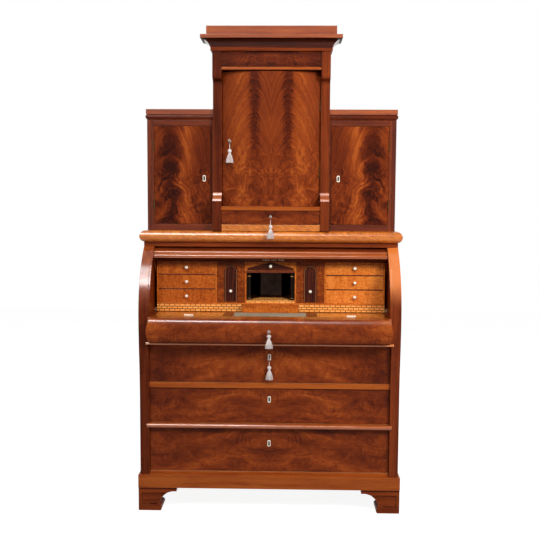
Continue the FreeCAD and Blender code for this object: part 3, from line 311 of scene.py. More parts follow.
# clouded veneer of the long fronts, matched left and right: brows near the middle, fine lines along the figure
def cloudedMahogany(name, figure):
    finish = polished(name, haze=0.16)
    x, y, z = finish.place(vary=False)
    seed = figure["seed"]
    out = abs(x)
    rise = z - figure["middle"]
    warp = finish.noise((out * 4.0, rise * 9.0, seed), 3.0, 0.55, 0.7) - 0.5
    warp2 = finish.noise((out * 6.0, rise * 12.0, seed + 3.1), 3.0, 0.55, 0.5) - 0.5
    level = rise + warp * figure["warp"] - (out / figure["span"]).bell() * figure["arch"]
    along = out + warp2 * 0.07
    band = finish.noise((along * 3.6, level * figure["bands"], seed + 5.0), 4.0, 0.6, 0.3)
    line = finish.noise((along * 14.0, level * 330.0, seed + 6.0), 3.0, 0.6)
    curl = finish.noise((along * 26.0, level * 30.0, seed + 8.0), 4.0, 0.6, 1.2)
    cloud = finish.noise((out * 5.0, rise * 6.0, seed + 1.7), 2.0)
    # ripples that cross the grain in arcs, in some places more than in others
    arc = out + level * level * figure["arcs"] + level * 0.7 + warp2 * 0.05
    ripple = finish.noise((arc * 190.0, level * 16.0, seed + 2.2), 2.0, 0.5) - 0.5
    shown = finish.noise((out * 7.0, rise * 9.0, seed + 4.4), 2.0).step(0.38, 0.60)
    depth = figure["base"] + band.swing(figure["contrast"]) + line.swing(0.4) + curl.swing(0.65)
    depth = depth + cloud.swing(0.7) + ripple * shown * figure["ripple"]
    coat = z.step(figure["shine"], figure["shine"] + 0.014) * 0.8 + 0.07
    return polishOver(finish, finish.ramp(depth, mahoganyStops), (x, z, y), coat=coat)


upright = {
    "middle": 1.561, "feather": 0.070, "width": 0.027, "ragged": 0.034, "tufts": 240.0, "swirl": 9.0, "sway": 0.020,
    "curl": 0.060, "bend": 1.8, "curlFrom": -0.04, "curlTo": 0.12, "fall": 9.0, "inward": 0.9, "barbs": 80.0,
    "base": 0.46, "heart": 0.39, "fade": 0.65, "contrast": 0.75, "cloud": 0.45, "amber": 0.055, "amberSide": 1.0,
    "glow": 0.16, "rim": 0.095, "seed": 2.0}
sidelong = dict(
    upright, middle=1.410, feather=0.425, width=0.052, ragged=0.050, tufts=150.0, barbs=46.0, swirl=6.5, sway=0.085,
    curl=0.03, curlFrom=-0.10, curlTo=0.05, fall=4.0, inward=0.5, bend=1.5, heart=0.36, fade=0.0, cloud=0.50,
    amber=0.050, amberSide=-1.0, glow=0.30, rim=0.075, seed=8.6)
# painted shade: the left door's figure is written darker than the right's
flames = {"centreDoorFlame": upright, "leftDoorFlame": dict(sidelong, base=0.57),
          "rightDoorFlame": dict(sidelong, base=0.52)}
# shine is the height above which the front is glossy
level = {"warp": 0.10, "span": 0.22, "arch": 0.045, "bands": 15.0, "base": 0.48, "contrast": 1.4, "arcs": 14.0,
         "ripple": 0.75, "shine": 9.0}
clouds = {
    "upperDrawerCloud": dict(level, middle=0.640, seed=5.0, base=0.42),
    "middleDrawerCloud": dict(level, middle=0.468, seed=9.4),
    "lowerDrawerCloud": dict(level, middle=0.268, seed=13.1, arch=0.06, span=0.27),
    "bolsterCloud": dict(level, middle=0.775, seed=17.7, base=0.38, contrast=1.2, shine=0.802),
    "centreDrawerCloud": dict(level, middle=1.235, seed=21.3, base=0.58, arch=0.02, span=0.10, bands=30.0),
    "friezeCloud": dict(level, middle=1.890, seed=25.9, base=0.80, arch=0.03, span=0.07, bands=30.0)}


# the slab, base strip and lids: paler wood with short slanting flecks
def fleckedMahogany(name):
    finish = polished(name, haze=0.22)
    x, y, z = finish.place()
    along, across = x + z * 0.55 - y * 0.55, z - y + x * 0.25
    fleck = finish.noise((along * 46.0, across * 170.0, 1.0), 3.0, 0.6, 0.4)
    cloud = finish.noise((x * 4.0, y * 5.0, z * 5.0))
    fibre = finish.noise((x * 20.0, z * 500.0, y * 500.0), 2.0)
    depth = 0.42 + fleck.swing(1.0) + cloud.swing(0.45) + fibre.swing(0.25)
    stops = [(0.1, (236, 152, 60)), (0.4, (204, 113, 34)), (0.68, (158, 77, 20)), (1.0, (90, 38, 10))]
    colour = finish.ramp(depth, stops)
    return polishOver(finish, colour, (x, z, y), gloss=0.26, wear=0.25, pores=0.3, coat=0.85)


mapleGrain = {"mottle": (95.0, 150.0, 4.0, 0.6, 0.6), "curl": (60.0, 9.0, 3.0, 0.5, 0.5), "cloud": (7.0, 7.0, 2.0),
              "eyes": 105.0, "eyeLong": 0.75, "eye": (0.10, 0.30)}


# bird's-eye maple: mottled gold with small round eyes
def mapleFinish(name, axis, dark=0.0):
    finish = polished(name)
    board = finish.grained(axis)
    along, across, through = board
    mottle = finish.fibres(board, *mapleGrain["mottle"])
    curl = finish.fibres(board, *mapleGrain["curl"])
    eyes = finish.node("ShaderNodeTexVoronoi", None, {
        "Vector": finish.join(along * mapleGrain["eyeLong"], across, through), "Scale": mapleGrain["eyes"]})
    eye = eyes.drop(*mapleGrain["eye"])
    cloud = finish.fibres(board, *mapleGrain["cloud"])
    depth = 0.40 + dark + mottle.swing(0.95) + curl.swing(0.55) + eye * 0.30 + cloud.swing(0.35)
    stops = [(0.05, (232, 142, 60)), (0.38, (202, 106, 36)), (0.68, (160, 74, 22)), (1.0, (104, 42, 12))]
    colour = finish.ramp(depth, stops)
    return polishOver(finish, colour, board, gloss=0.27, wear=0.2, pores=0.15)


# parquetry of small pale bricks between dark joints
def brickFinish(name, brick):
    finish = polished(name)
    x, y, z = finish.place(vary=False)
    flat = finish.join(x, (z - brick["foot"]) + (y * brick["tilt"]), 0.0)
    sizes = {"Vector": flat, "Scale": 1.0, "Mortar Size": brick["joint"], "Mortar Smooth": 0.15,
             "Brick Width": brick["length"], "Row Height": brick["height"]}
    joint = finish.node("ShaderNodeTexBrick", None, sizes, output="Fac")
    laid = finish.node("ShaderNodeTexBrick", None, dict(
        sizes, Color1=tone(250, 174, 92), Color2=tone(234, 152, 68), Mortar=tone(84, 36, 12)))
    fibre = finish.noise((x * 60.0, z * 700.0, y * 700.0))
    colour = finish.blend((fibre - 0.4) * 0.4, laid, tone(190, 100, 42))
    finish.bump(joint * -1.0 + fibre * 0.2, 0.15, 0.0003)
    finish.shader.inputs["Coat Weight"].default_value = 0.2
    return finish.done(colour, 0.30 + fibre.swing(0.15))


# rosewood: near-black stripes over red-brown
def rosewoodFinish(name, axis, inlay=None):
    finish = polished(name)
    board = finish.grained(axis, vary=False)
    along, across, through = board
    sway = finish.fibres(board, 5.0, 8.0, 2.0)
    stripe = finish.noise((along * 3.0, (across + sway.swing(0.02)) * 210.0, through * 60.0), 3.0, 0.55)
    fibre = finish.fibres(board, 30.0, 900.0, 2.0)
    depth = 0.5 + stripe.swing(1.6) + fibre.swing(0.4)
    stops = [(0.1, (112, 46, 24)), (0.45, (72, 28, 16)), (0.75, (40, 16, 11)), (1.0, (22, 10, 8))]
    colour = finish.ramp(depth, stops)
    if inlay:
        # pale line a few millimetres inside the arch
        x, y, z = finish.place(vary=False)
        u = abs(abs(x) - inlay["middle"])
        over = (z - inlay["spring"]).most(0.0)
        reach = (u * u + over * over) ** 0.5
        line = (abs(reach - inlay["radius"]) / inlay["line"]).bell()
        colour = finish.blend(line * 0.75, colour, tone(206, 140, 76))
    return polishOver(finish, colour, board, gloss=0.26, wear=0.15, pores=0.3)


# ebonised columns with pale rings at head and foot
def ebonyFinish(name, rings, blur=0.0003):
    finish = polished(name)
    x, y, z = finish.place(vary=False)
    grain = finish.noise((x * 600.0, y * 600.0, z * 30.0))
    colour = finish.ramp(grain, [(0.3, (16, 12, 11)), (0.7, (40, 28, 23))])
    ring = None
    for low, high in rings:
        band = z.step(low - blur, low) * z.drop(high, high + blur)
        ring = band if ring is None else ring.most(band)
    finish.feed("Metallic", ring * 0.8)
    return finish.done(finish.blend(ring, colour, tone(150, 112, 62)), 0.22 + grain.swing(0.12))


# plain unpolished boards inside drawers and at the back
def deal(name, axis):
    finish = Finish(name, {"Specular IOR Level": 0.25})
    board = finish.grained(axis)
    along, across, through = board
    sway = finish.fibres(board, 1.6, 5.0, 2.0)
    ring = finish.fibres((along, across + sway.swing(0.08), through), 1.2, 75.0)
    fibre = finish.fibres(board, 16.0, 520.0)
    stain = finish.fibres(board, 6.0, 6.0)
    depth = 0.45 + ring.swing(0.9) + fibre.swing(0.4) + stain.swing(0.35)
    stops = [(0.1, (206, 164, 112)), (0.45, (180, 132, 82)), (0.75, (146, 98, 56)), (1.0, (104, 64, 36))]
    finish.bump(fibre + ring * 0.5, 0.18, 0.0005)
    return finish.done(finish.ramp(depth, stops), 0.62 + fibre.swing(0.25))


# turned ivory and bone, with faint growth lines; the bone's keyhole is painted shade, a dark shape drawn on it
def ivoryFinish(name, keyhole=False):
    finish = Finish(name, {"Specular IOR Level": 0.5, "Coat Weight": 0.3, "Coat Roughness": 0.1})
    x, y, z = finish.place()
    line = finish.noise((x * 260.0, y * 260.0, z * 60.0))
    colour = finish.ramp(line, [(0.25, (222, 208, 178)), (0.55, (246, 238, 220)), (0.8, (252, 247, 236))])
    if keyhole:
        # painted shade: a dark keyhole drawn on the bone
        u, v, w = finish.split(finish.mark("own", "Vector"))
        hole = abs(u).drop(0.0034, 0.0038) * abs(w).drop(0.0090, 0.0095)
        colour = finish.blend(hole, colour, tone(58, 34, 22))
    return finish.done(colour, 0.26 + line.swing(0.2))


# a tooled line runs inside the leather's edge
tooling = {"x": 0.145, "middle": -0.1485, "y": 0.0475, "width": 0.0012}


def leatherFinish(name):
    finish = Finish(name, {"Specular IOR Level": 0.35})
    x, y, z = finish.place(vary=False)
    grain = finish.node("ShaderNodeTexVoronoi", {"feature": "DISTANCE_TO_EDGE"}, {
        "Vector": finish.join(x, y, z), "Scale": 620.0})
    crease = grain.step(0.0, 0.14)
    rub = finish.noise((x * 9.0, y * 14.0, z), 5.0, 0.65)
    colour = finish.ramp(rub, [(0.25, (126, 125, 105)), (0.5, (162, 157, 135)), (0.75, (180, 171, 147))])
    colour = finish.blend((1.0 - crease) * 0.35, colour, tone(64, 66, 50))
    endLine = abs(abs(x) - tooling["x"]).step(0.0, tooling["width"])
    sideLine = abs(abs(y - tooling["middle"]) - tooling["y"]).step(0.0, tooling["width"])
    colour = finish.blend((1.0 - endLine.least(sideLine)) * 0.5, colour, tone(150, 118, 60))
    finish.bump(crease + rub * 0.4, 0.3, 0.0003)
    return finish.done(colour, 0.52 + rub.swing(0.3))


# a mirror painted near black, a painted reflection of a dim surround, with faint bloom
def mirrorPaintedDark(name):
    finish = Finish(name, {"Metallic": 1.0})
    x, y, z = finish.place(vary=False)
    bloom = finish.noise((x * 24.0, y * 24.0, z * 24.0), 5.0, 0.65)
    colour = finish.ramp(bloom, [(0.3, (22, 14, 11)), (0.7, (44, 31, 25))])
    return finish.done(colour, 0.03 + bloom.step(0.6, 0.8) * 0.12)


def brassFinish(name, bright, tarnish):
    finish = Finish(name, {"Metallic": 1.0})
    x, y, z = finish.place()
    age = finish.noise((x * 90.0, y * 90.0, z * 90.0), 5.0, 0.65)
    return finish.done(finish.ramp(age, [(0.3, bright), (0.75, tarnish)]), 0.24 + (age - 0.4) * 0.4)


# pale silk, its strands varying between greyer pink and near white
def silkFinish(name):
    finish = Finish(name, {"Sheen Weight": 0.35, "Sheen Roughness": 0.4, "Specular IOR Level": 0.35})
    x, y, z = finish.place(vary=False)
    strand = finish.noise((x * 900.0, y * 900.0, z * 40.0))
    stops = [(0.3, (206, 188, 184)), (0.55, (230, 219, 214)), (0.8, (246, 240, 236))]
    return finish.done(finish.ramp(strand, stops), 0.55 + strand.swing(0.3))


finishes = {}


def addFinish(name, make, *values, **more):
    finishes[name] = make(name, *values, **more)


for kind, axes, values in (
        ("plain", "xz", {}), ("dark", "xyz", {"shift": 0.18, "coat": 0.30}), ("dusk", "xyz", {"shift": 0.08}),
        # pale and gloss are painted light: paler wood for rails and tops where light falls from above; gloss also has a
        # real glossy coat
        ("pale", "xyz", {"shift": -0.34}), ("gloss", "x", {"shift": -0.18, "coat": 0.85}),
        # shadowed is painted shade, darker wood; bead is painted light, paler wood for the rounded beads, under a real
        # glossy coat
        ("under", "xz", {"shift": 0.28}), ("bead", "x", {"shift": -0.36, "coat": 0.9, "index": 1.6}),
        # shade and line are painted shade: dark for the cove and the pull rail's underside, near black for the lines
        # under rails and round sunk panels
        ("shade", "x", {"shift": 0.46, "coat": 0.22}), ("line", "x", {"shift": 0.80, "coat": 0.02}),
        # scroll is a painted highlight: paler wood on the pilasters' lower scrolls, under a real glossy coat
        ("scroll", "z", {"shift": -0.30, "coat": 0.85, "index": 1.8, "haze": 0.32})):
    for axis in axes:
        addFinish(kind + axis, plainMahogany, axis, **values)
for axis in "xyz":
    addFinish("deal" + axis, deal, axis)
    addFinish("maple" + axis, mapleFinish, axis)
# painted light on the swept front edges: the left written darker than the right, both paler towards the top where the
# edge turns up, the right also warmed orange
addFinish("sweptLeft", plainMahogany, "z", 0.24, 0.04,
          {"low": 0.84, "high": 0.98, "by": 0.42, "coat": 0.60, "tint": 0.0}, index=1.6, haze=0.18)
addFinish("sweptRight", plainMahogany, "z", 0.04, 0.05,
          {"low": 0.86, "high": 1.00, "by": 0.50, "coat": 0.60, "tint": 0.55}, index=1.7)
addFinish("footx", plainMahogany, "x", 0.0, 0.05,
          {"low": 0.0905, "high": 0.0930, "by": -0.45, "coat": 0.0, "tint": 0.0})
# painted light: the upper bead, shaded by the bolster, is written pale and warm orange
addFinish("beadUpper", plainMahogany, "x", -0.45, 0.0,
          {"low": 0.0, "high": 0.1, "by": 0.0, "coat": 0.7, "tint": 0.9}, index=1.8)
for name, figure in flames.items():
    addFinish(name, flameMahogany, figure)
for name, figure in clouds.items():
    addFinish(name, cloudedMahogany, figure)
addFinish("flecked", fleckedMahogany)
# painted light: the left small drawers' maple is written darker and the right paler, as light falls across the interior
addFinish("mapleLeft", mapleFinish, "x", 0.17)
addFinish("mapleRight", mapleFinish, "x", -0.14)
addFinish("mapleDark", mapleFinish, "z", 0.46)
addFinish("stepMaple", mapleFinish, "z", 0.12)
addFinish("bricks", brickFinish, {"foot": 0.826, "tilt": 0.0, "length": 0.0223, "height": 0.0107, "joint": 0.0013})
addFinish("parquet", brickFinish, {"foot": 0.0, "tilt": 1.0, "length": 0.026, "height": 0.013, "joint": 0.0008})
addFinish("rosewood", rosewoodFinish, "z", {"middle": 0.1705, "spring": 0.999, "radius": 0.0245, "line": 0.0006})
addFinish("gable", rosewoodFinish, "x")
addFinish("ebony", ebonyFinish, [(0.9768, 0.9812), (0.8832, 0.8852)])
addFinish("ivory", ivoryFinish)
addFinish("bone", ivoryFinish, keyhole=True)
addFinish("leather", leatherFinish)
addFinish("mirror", mirrorPaintedDark)
addFinish("brass", brassFinish, (112, 80, 46), (62, 40, 22))
# the key steel is written darker than bright steel, a painted dim reflection; its mottle between the two tones is
# tarnish
addFinish("steel", brassFinish, (168, 158, 148), (92, 78, 66))
addFinish("silk", silkFinish)
print("finishes made:", len(finishes))


# groups of linked faces, one for each solid of a node
def islands(bm):
    bm.faces.ensure_lookup_table()
    seen, found = set(), []
    for start in bm.faces:
        if start.index in seen:
            continue
        seen.add(start.index)
        faces, waiting = [], [start]
        while waiting:
            face = waiting.pop()
            faces.append(face)
            for edge in face.edges:
                for other in edge.link_faces if len(edge.link_faces) == 2 else ():
                    if other.index not in seen:
                        seen.add(other.index)
                        waiting.append(other)
        found.append(faces)
    return found


def longest(size):
    return "xyz"[max(range(3), key=lambda i: size[i])]


# a finished mesh as a piece of the scene, smooth up to an angle or flat
def addPiece(name, bm, used, smooth=None):
    mesh = bpy.data.meshes.new(name)
    bm.to_mesh(mesh)
    bm.free()
    if smooth:
        for face in mesh.polygons:
            face.use_smooth = True
        mesh.set_sharp_from_angle(angle=math.radians(smooth))
    for finish in used:
        mesh.materials.append(finishes[finish])
    piece = bpy.data.objects.new(name, mesh)
    scene.collection.objects.link(piece)
    return piece


# angles in degrees; share spreads the boards' grain by number, name and height
dressing = {"weld": 2e-6, "flat": 0.4, "corner": 35, "smooth": 32, "rounds": 2, "share": (0.618, 0.37, 1.31)}


# the lowest and highest corner of some vertices
def boxOf(verts):
    return [Vector([pick(v.co[i] for v in verts) for i in range(3)]) for pick in (min, max)]


# how far edges are rounded, in metres
softness = {"none": 0.0, "tiny": 0.0003, "small": 0.0005, "fine": 0.0006, "box": 0.0008, "rail": 0.0009, "case": 0.0010,
            "board": 0.0012, "panel": 0.0014}


# a node's solids with softened edges, a finish for each and the marks that the finishes read
def dress(node, choose, soft, spot=None, lined=None):
    source = frame["nodes"][node]
    bm = bmesh.new()
    bm.from_mesh(source.data)
    bmesh.ops.remove_doubles(bm, verts=bm.verts, dist=dressing["weld"])
    bmesh.ops.dissolve_limit(bm, angle_limit=math.radians(dressing["flat"]), verts=bm.verts, edges=bm.edges)
    bm.faces.index_update()
    for faces in islands(bm)[1:]:
        bmesh.ops.split(bm, geom=faces)
    mark = bm.faces.layers.float.new("edge")
    if softness[soft]:
        corner = math.radians(dressing["corner"])
        sharp = [e for e in bm.edges if e.is_manifold and e.calc_face_angle(0) > corner]
        made = bmesh.ops.bevel(bm, geom=sharp, offset=softness[soft], offset_type="OFFSET",
                               segments=dressing["rounds"], profile=0.5, affect="EDGES", clamp_overlap=True)
        for face in made["faces"]:
            face[mark] = 1.0
    lines = set()
    if lined:
        bm.normal_update()
        sunk = [face for face in bm.faces if lined["where"](face)]
        lines = set(bmesh.ops.inset_region(bm, faces=sunk, thickness=lined["width"])["faces"])
    pick = bm.verts.layers.float.new("pick")
    own = bm.verts.layers.float_vector.new("own")
    bm.normal_update()
    bm.faces.index_update()
    byNumber, byName, byHeight = dressing["share"]
    used = []
    for number, faces in enumerate(islands(bm)):
        verts = {v for f in faces for v in f.verts}
        low, high = boxOf(verts)
        middle = (low + high) / 2
        chosen = choose(low, high, high - low)
        share = (number * byNumber + len(node) * byName + middle.z * byHeight) % 1.0
        for vert in verts:
            vert[pick] = share
            vert[own] = vert.co - middle
        for face in faces:
            name = lined["finish"] if face in lines else spot and spot(face, low) or chosen
            if name not in used:
                used.append(name)
            face.material_index = used.index(name)
    piece = addPiece(node + "_dressed", bm, used, dressing["smooth"])
    even = piece.modifiers.new("evenNormals", "WEIGHTED_NORMAL")
    even.mode = "FACE_AREA"
    even.weight = 100
    even.keep_sharp = True
    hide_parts(node)
    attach(piece, source["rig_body"])


def alongGrain(kind):
    return lambda low, high, size: kind + longest(size)


def only(name):
    return lambda low, high, size: name


# carcase and upper cases; heights and sizes in metres tell the solids of a node apart
# line is the width of the painted shadow inset round the feet's sunk panels
feet = {"sunkFrom": 0.0016, "sunkTo": 0.02, "line": 0.0050}


def sunkPanel(face):
    depth = face.calc_center_median().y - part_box("front_feet")[0].y
    return face.normal.y < facing["foot"] and feet["sunkFrom"] < depth < feet["sunkTo"]


# how far a face has to turn to the front, the side or the floor to count
facing = {"foot": -0.9, "swept": -0.2, "coveEnd": 0.3, "scroll": -0.05, "soffit": -0.5, "pullRail": -0.45}


# painted light: the left swept edges take the darker finish, the right the paler
def swept(x):
    return "sweptLeft" if x < 0 else "sweptRight"


def sweptEdge(face, low):
    return swept(low.x) if face.normal.y < facing["swept"] else None


for node in ("left_side_panel", "right_side_panel"):
    dress(node, only("plainz"), "panel", spot=sweptEdge)
# painted light: these rails and the plinth are written in the paler finish, as light from above falls on them
for node in ("plinth_frame", "plain_rails"):
    dress(node, alongGrain("pale"), "board")
rails = {"upperBead": 0.6, "longFrieze": 0.5}
# painted light: the beads are written paler, the upper bead under the bolster paler and warmer still
dress("bead_rails", lambda low, high, size: "beadUpper" if low.z > rails["upperBead"] else "beadx", "board")
dress("frieze_rail", lambda low, high, size: "plainx" if size.x > rails["longFrieze"] else swept(low.x), "fine")
# painted shadow: a near-black line inset round each sunk panel
dress("front_feet", only("footx"), "board", lined={"where": sunkPanel, "width": feet["line"], "finish": "linex"})
dress("rear_feet", only("plainx"), "board")
for node in ("lower_back_panel", "bottom_board", "dust_boards"):
    dress(node, alongGrain("deal"), "case")
dress("slide_guides", alongGrain("dusk"), "case")
dress("desk_top", only("flecked"), "fine")


upper = {"topMoulding": 1.664, "cove": (1.933, 1.967), "scroll": (1.300, 1.348), "baseStrip": 1.18, "soffit": 1.8,
         "tallBoard": 0.4, "thinBoard": 0.014, "wideBoard": 0.1, "friezePanel": 0.05}


def height(face):
    return face.calc_center_median().z


# painted shade: the side tops' parts below the board are written darker
def topFinish(face, low):
    return "underx" if height(face) < upper["topMoulding"] else None


# painted shade: the cove is written dark; the top and the returning ends keep the paler glossy finish, the parts below
# the cove a darker tone
def coveFinish(face, low):
    foot, head = upper["cove"]
    if height(face) > head or abs(face.normal.x) > facing["coveEnd"]:
        return "glossx"
    return "shadex" if height(face) > foot else "duskx"


# painted highlight: the pilasters' lower scrolls are written paler
def scrollFinish(face, low):
    foot, head = upper["scroll"]
    return "scrollz" if face.normal.y < facing["scroll"] and foot < height(face) < head else None


# painted light: the side tops and cornice are written in the paler glossy finish
dress("side_cabinet_tops", only("glossx"), "case", spot=topFinish)
dress("cornice", only("glossx"), "case", spot=coveFinish)
# painted shade: the left pilaster is written darker than the right
dress("centre_pilasters", lambda low, high, size: "underz" if low.x < 0 else "duskz", "board", spot=scrollFinish)


def caseFinish(low, high, size):
    if size.z > upper["tallBoard"] and size.y < upper["thinBoard"]:
        return "dealz" if size.x > upper["wideBoard"] else "darkz"
    return "dark" + longest(size)


for node in ("left_cabinet_case", "right_cabinet_case", "centre_cabinet_case"):
    dress(node, caseFinish, "case")


# painted light: the plain centre rails are written pale, as light from above falls on them
def railFinish(low, high, size):
    if low.z < upper["baseStrip"]:
        return "flecked"
    return "friezeCloud" if size.z > upper["friezePanel"] else "palex"


# painted shade: downward faces of the rails above the door are written near black
def soffit(face, low):
    return "linex" if face.normal.z < facing["soffit"] and low.z > upper["soffit"] else None


dress("centre_rails", railFinish, "rail", spot=soffit)
dress("hinge_pins", only("brass"), "tiny")
print("carcase dressed")


# doors and long drawers
fronts = {"escutcheon": 0.02, "thick": 0.06, "wide": 0.2, "tall": 0.05, "centreFace": -0.11, "centreThick": 0.03}


def frontFinish(figure):
    def choose(low, high, size):
        if size.x < fronts["escutcheon"]:
            return "bone"
        isFront = size.y < fronts["thick"] and size.x > fronts["wide"] and size.z > fronts["tall"]
        return figure if isFront else "deal" + longest(size)
    return choose


dress("left_door", frontFinish("leftDoorFlame"), "case")
dress("right_door", frontFinish("rightDoorFlame"), "case")
dress("centre_door", only("centreDoorFlame"), "case")
for row in ("upper", "middle", "lower"):
    dress(row + "_drawer_front", frontFinish(row + "DrawerCloud"), "case")
    dress(row + "_drawer_box", alongGrain("deal"), "box")


def centreDrawerFinish(low, high, size):
    isFront = low.y < fronts["centreFace"] and size.y < fronts["centreThick"]
    return "centreDrawerCloud" if isFront else "deal" + longest(size)


dress("centre_drawer", centreDrawerFinish, "box")
print("doors and drawers dressed")


# cylinder and slide
slide = {"top": 0.8225, "thin": 0.013, "short": 0.5, "strip": 0.01, "stripReach": 0.2, "pull": 0.05}
dress("cylinder_shell", only("duskx"), "none")
# painted shade: the pull rail's downward faces are written dark; the rest is the paler bead finish, painted light under
# a real glossy coat
dress("cylinder_pull_rail", only("beadx"), "fine",
      spot=lambda face, low: "shadex" if face.normal.z < facing["pullRail"] else None)
dress("cylinder_arms", only("plainz"), "fine")
dress("slide_bolster", only("bolsterCloud"), "case")


def trayFinish(low, high, size):
    thin = size.z < slide["thin"]
    if thin and high.z > slide["top"] and size.x < slide["short"]:
        return "plainx"
    if size.x < slide["strip"] and abs(low.x) < slide["stripReach"]:
        return "darky"
    return ("maple" if thin else "dusk") + longest(size)


dress("slide_tray", trayFinish, "fine")
for node in ("left_lid", "right_lid"):
    dress(node, lambda low, high, size: "ivory" if size.x < slide["pull"] else "flecked", "fine")


# fitted interior
inside = {"strip": 0.02, "long": 0.3, "stripFace": -0.05, "nicheWide": 0.25, "nicheFloor": (0.010, 0.014), "deep": 0.2,
          "wide": 0.1, "knob": 0.024, "panel": 0.003, "drawerFace": -0.075}


def plinthFinish(low, high, size):
    if size.x < inside["long"]:
        return "stepMaple"
    return "bricks" if size.y < inside["strip"] and low.y < inside["stripFace"] else "dealx"


def caseInsideFinish(low, high, size):
    thin, thick = inside["nicheFloor"]
    if size.x < inside["nicheWide"]:
        if thin < size.z < thick:
            return "parquet"
        if size.z < thin and size.y > inside["deep"] and size.x > inside["wide"]:
            return "darkx"
    return "maple" + longest((size.x, 0, size.z))


dress("interior_plinth", plinthFinish, "fine")
dress("interior_case", caseInsideFinish, "small")
dress("niche_mirror", only("mirror"), "tiny")
dress("niche_columns", only("ebony"), "tiny")


def smallFront(grain, trim):
    def choose(low, high, size):
        if max(size) < inside["knob"]:
            return "ivory"
        if size.y < inside["panel"]:
            return trim
        return grain if low.y < inside["drawerFace"] else "deal" + longest(size)
    return choose


# painted light: the left and right drawers take the darker and paler maple
for side in ("left", "right"):
    for row in ("top", "middle", "bottom"):
        dress(side + "_" + row + "_drawer", smallFront("maple" + side.capitalize(), "rosewood"), "small")
    dress(side + "_document_drawer", smallFront("mapleDark", "rosewood"), "small")
dress("pediment_drawer", smallFront("maplex", "gable"), "small")
keyed = ("slide", "upper_drawer", "centre_door", "centre_drawer")
for name in keyed:
    dress(name + "_key", only("steel"), "none")
print("interior dressed")


# writing leather: a thin crowned skin with a rolled edge
leather = {"divisions": 24, "crown": 0.00009, "waves": 9, "edge": 0.0015, "rolled": 0.6, "smooth": 40}


def makeLeather():
    low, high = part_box("leather_pad")
    bm = bmesh.new()
    bmesh.ops.create_grid(bm, x_segments=leather["divisions"] * 2, y_segments=leather["divisions"], size=0.5)
    middle, size = (low + high) / 2, high - low
    for vert in bm.verts:
        u, v = abs(vert.co.x) * 2, abs(vert.co.y) * 2
        inset = min((1 - u) * size.x / 2, (1 - v) * size.y / 2)
        fall = max(0.0, 1 - inset / leather["edge"]) ** 2
        sag = leather["crown"] * (1 - math.cos(vert.co.x * leather["waves"]))
        vert.co = Vector((middle.x + vert.co.x * size.x, middle.y + vert.co.y * size.y,
                          high.z - sag - fall * size.z * leather["rolled"]))
    skin = bmesh.ops.extrude_face_region(bm, geom=bm.faces[:])
    for item in skin["geom"]:
        if isinstance(item, bmesh.types.BMVert):
            item.co.z = low.z
    bmesh.ops.recalc_face_normals(bm, faces=bm.faces)
    piece = addPiece("leather_skin", bm, ["leather"], leather["smooth"])
    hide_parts("leather_pad")
    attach(piece, "slide")


makeLeather()


# tassels: a wound head, a bound neck and a skirt of threads
tassel = {"threads": 150, "threadRadius": 0.00042, "headRadius": 0.0085, "headHeight": 0.015, "headRows": 12,
          "headSides": 88, "neckRadius": 0.0050, "neckHeight": 0.004, "neckTurns": 4, "neckPitch": 0.0010,
          "neckCord": 0.00062, "neckSides": 24, "hemRadius": 0.0158, "skirt": 0.038, "cordRadius": 0.0013,
          "cordRows": 22, "cordSides": 12, "windings": 22, "loopRadius": 0.0047, "smooth": 60, "headFull": 0.8,
          "headFlute": 0.028, "headTwist": 0.09, "neckFoot": 0.0006, "neckSunk": 0.0004, "coreInset": 0.0006,
          "cordFlute": 0.16, "cordPlies": 2, "cordTwist": 0.55, "loopThin": 0.86, "loopPly": 0.12, "loopTurns": 9,
          "ringSides": 28, "ringSection": 10, "overlap": 0.001, "firstSeed": 3}
# spreads are a thread's own turn in radians and its shares of reach and drop
thread = {"start": 0.9, "bulgeDown": 0.42, "bulgeOut": 0.92, "bends": 7, "sides": 5, "goldenAngle": 2.39996,
          "spreads": {"jitter": (-0.08, 0.08), "reach": (0.62, 1.0), "drop": (0.95, 1.0)}}


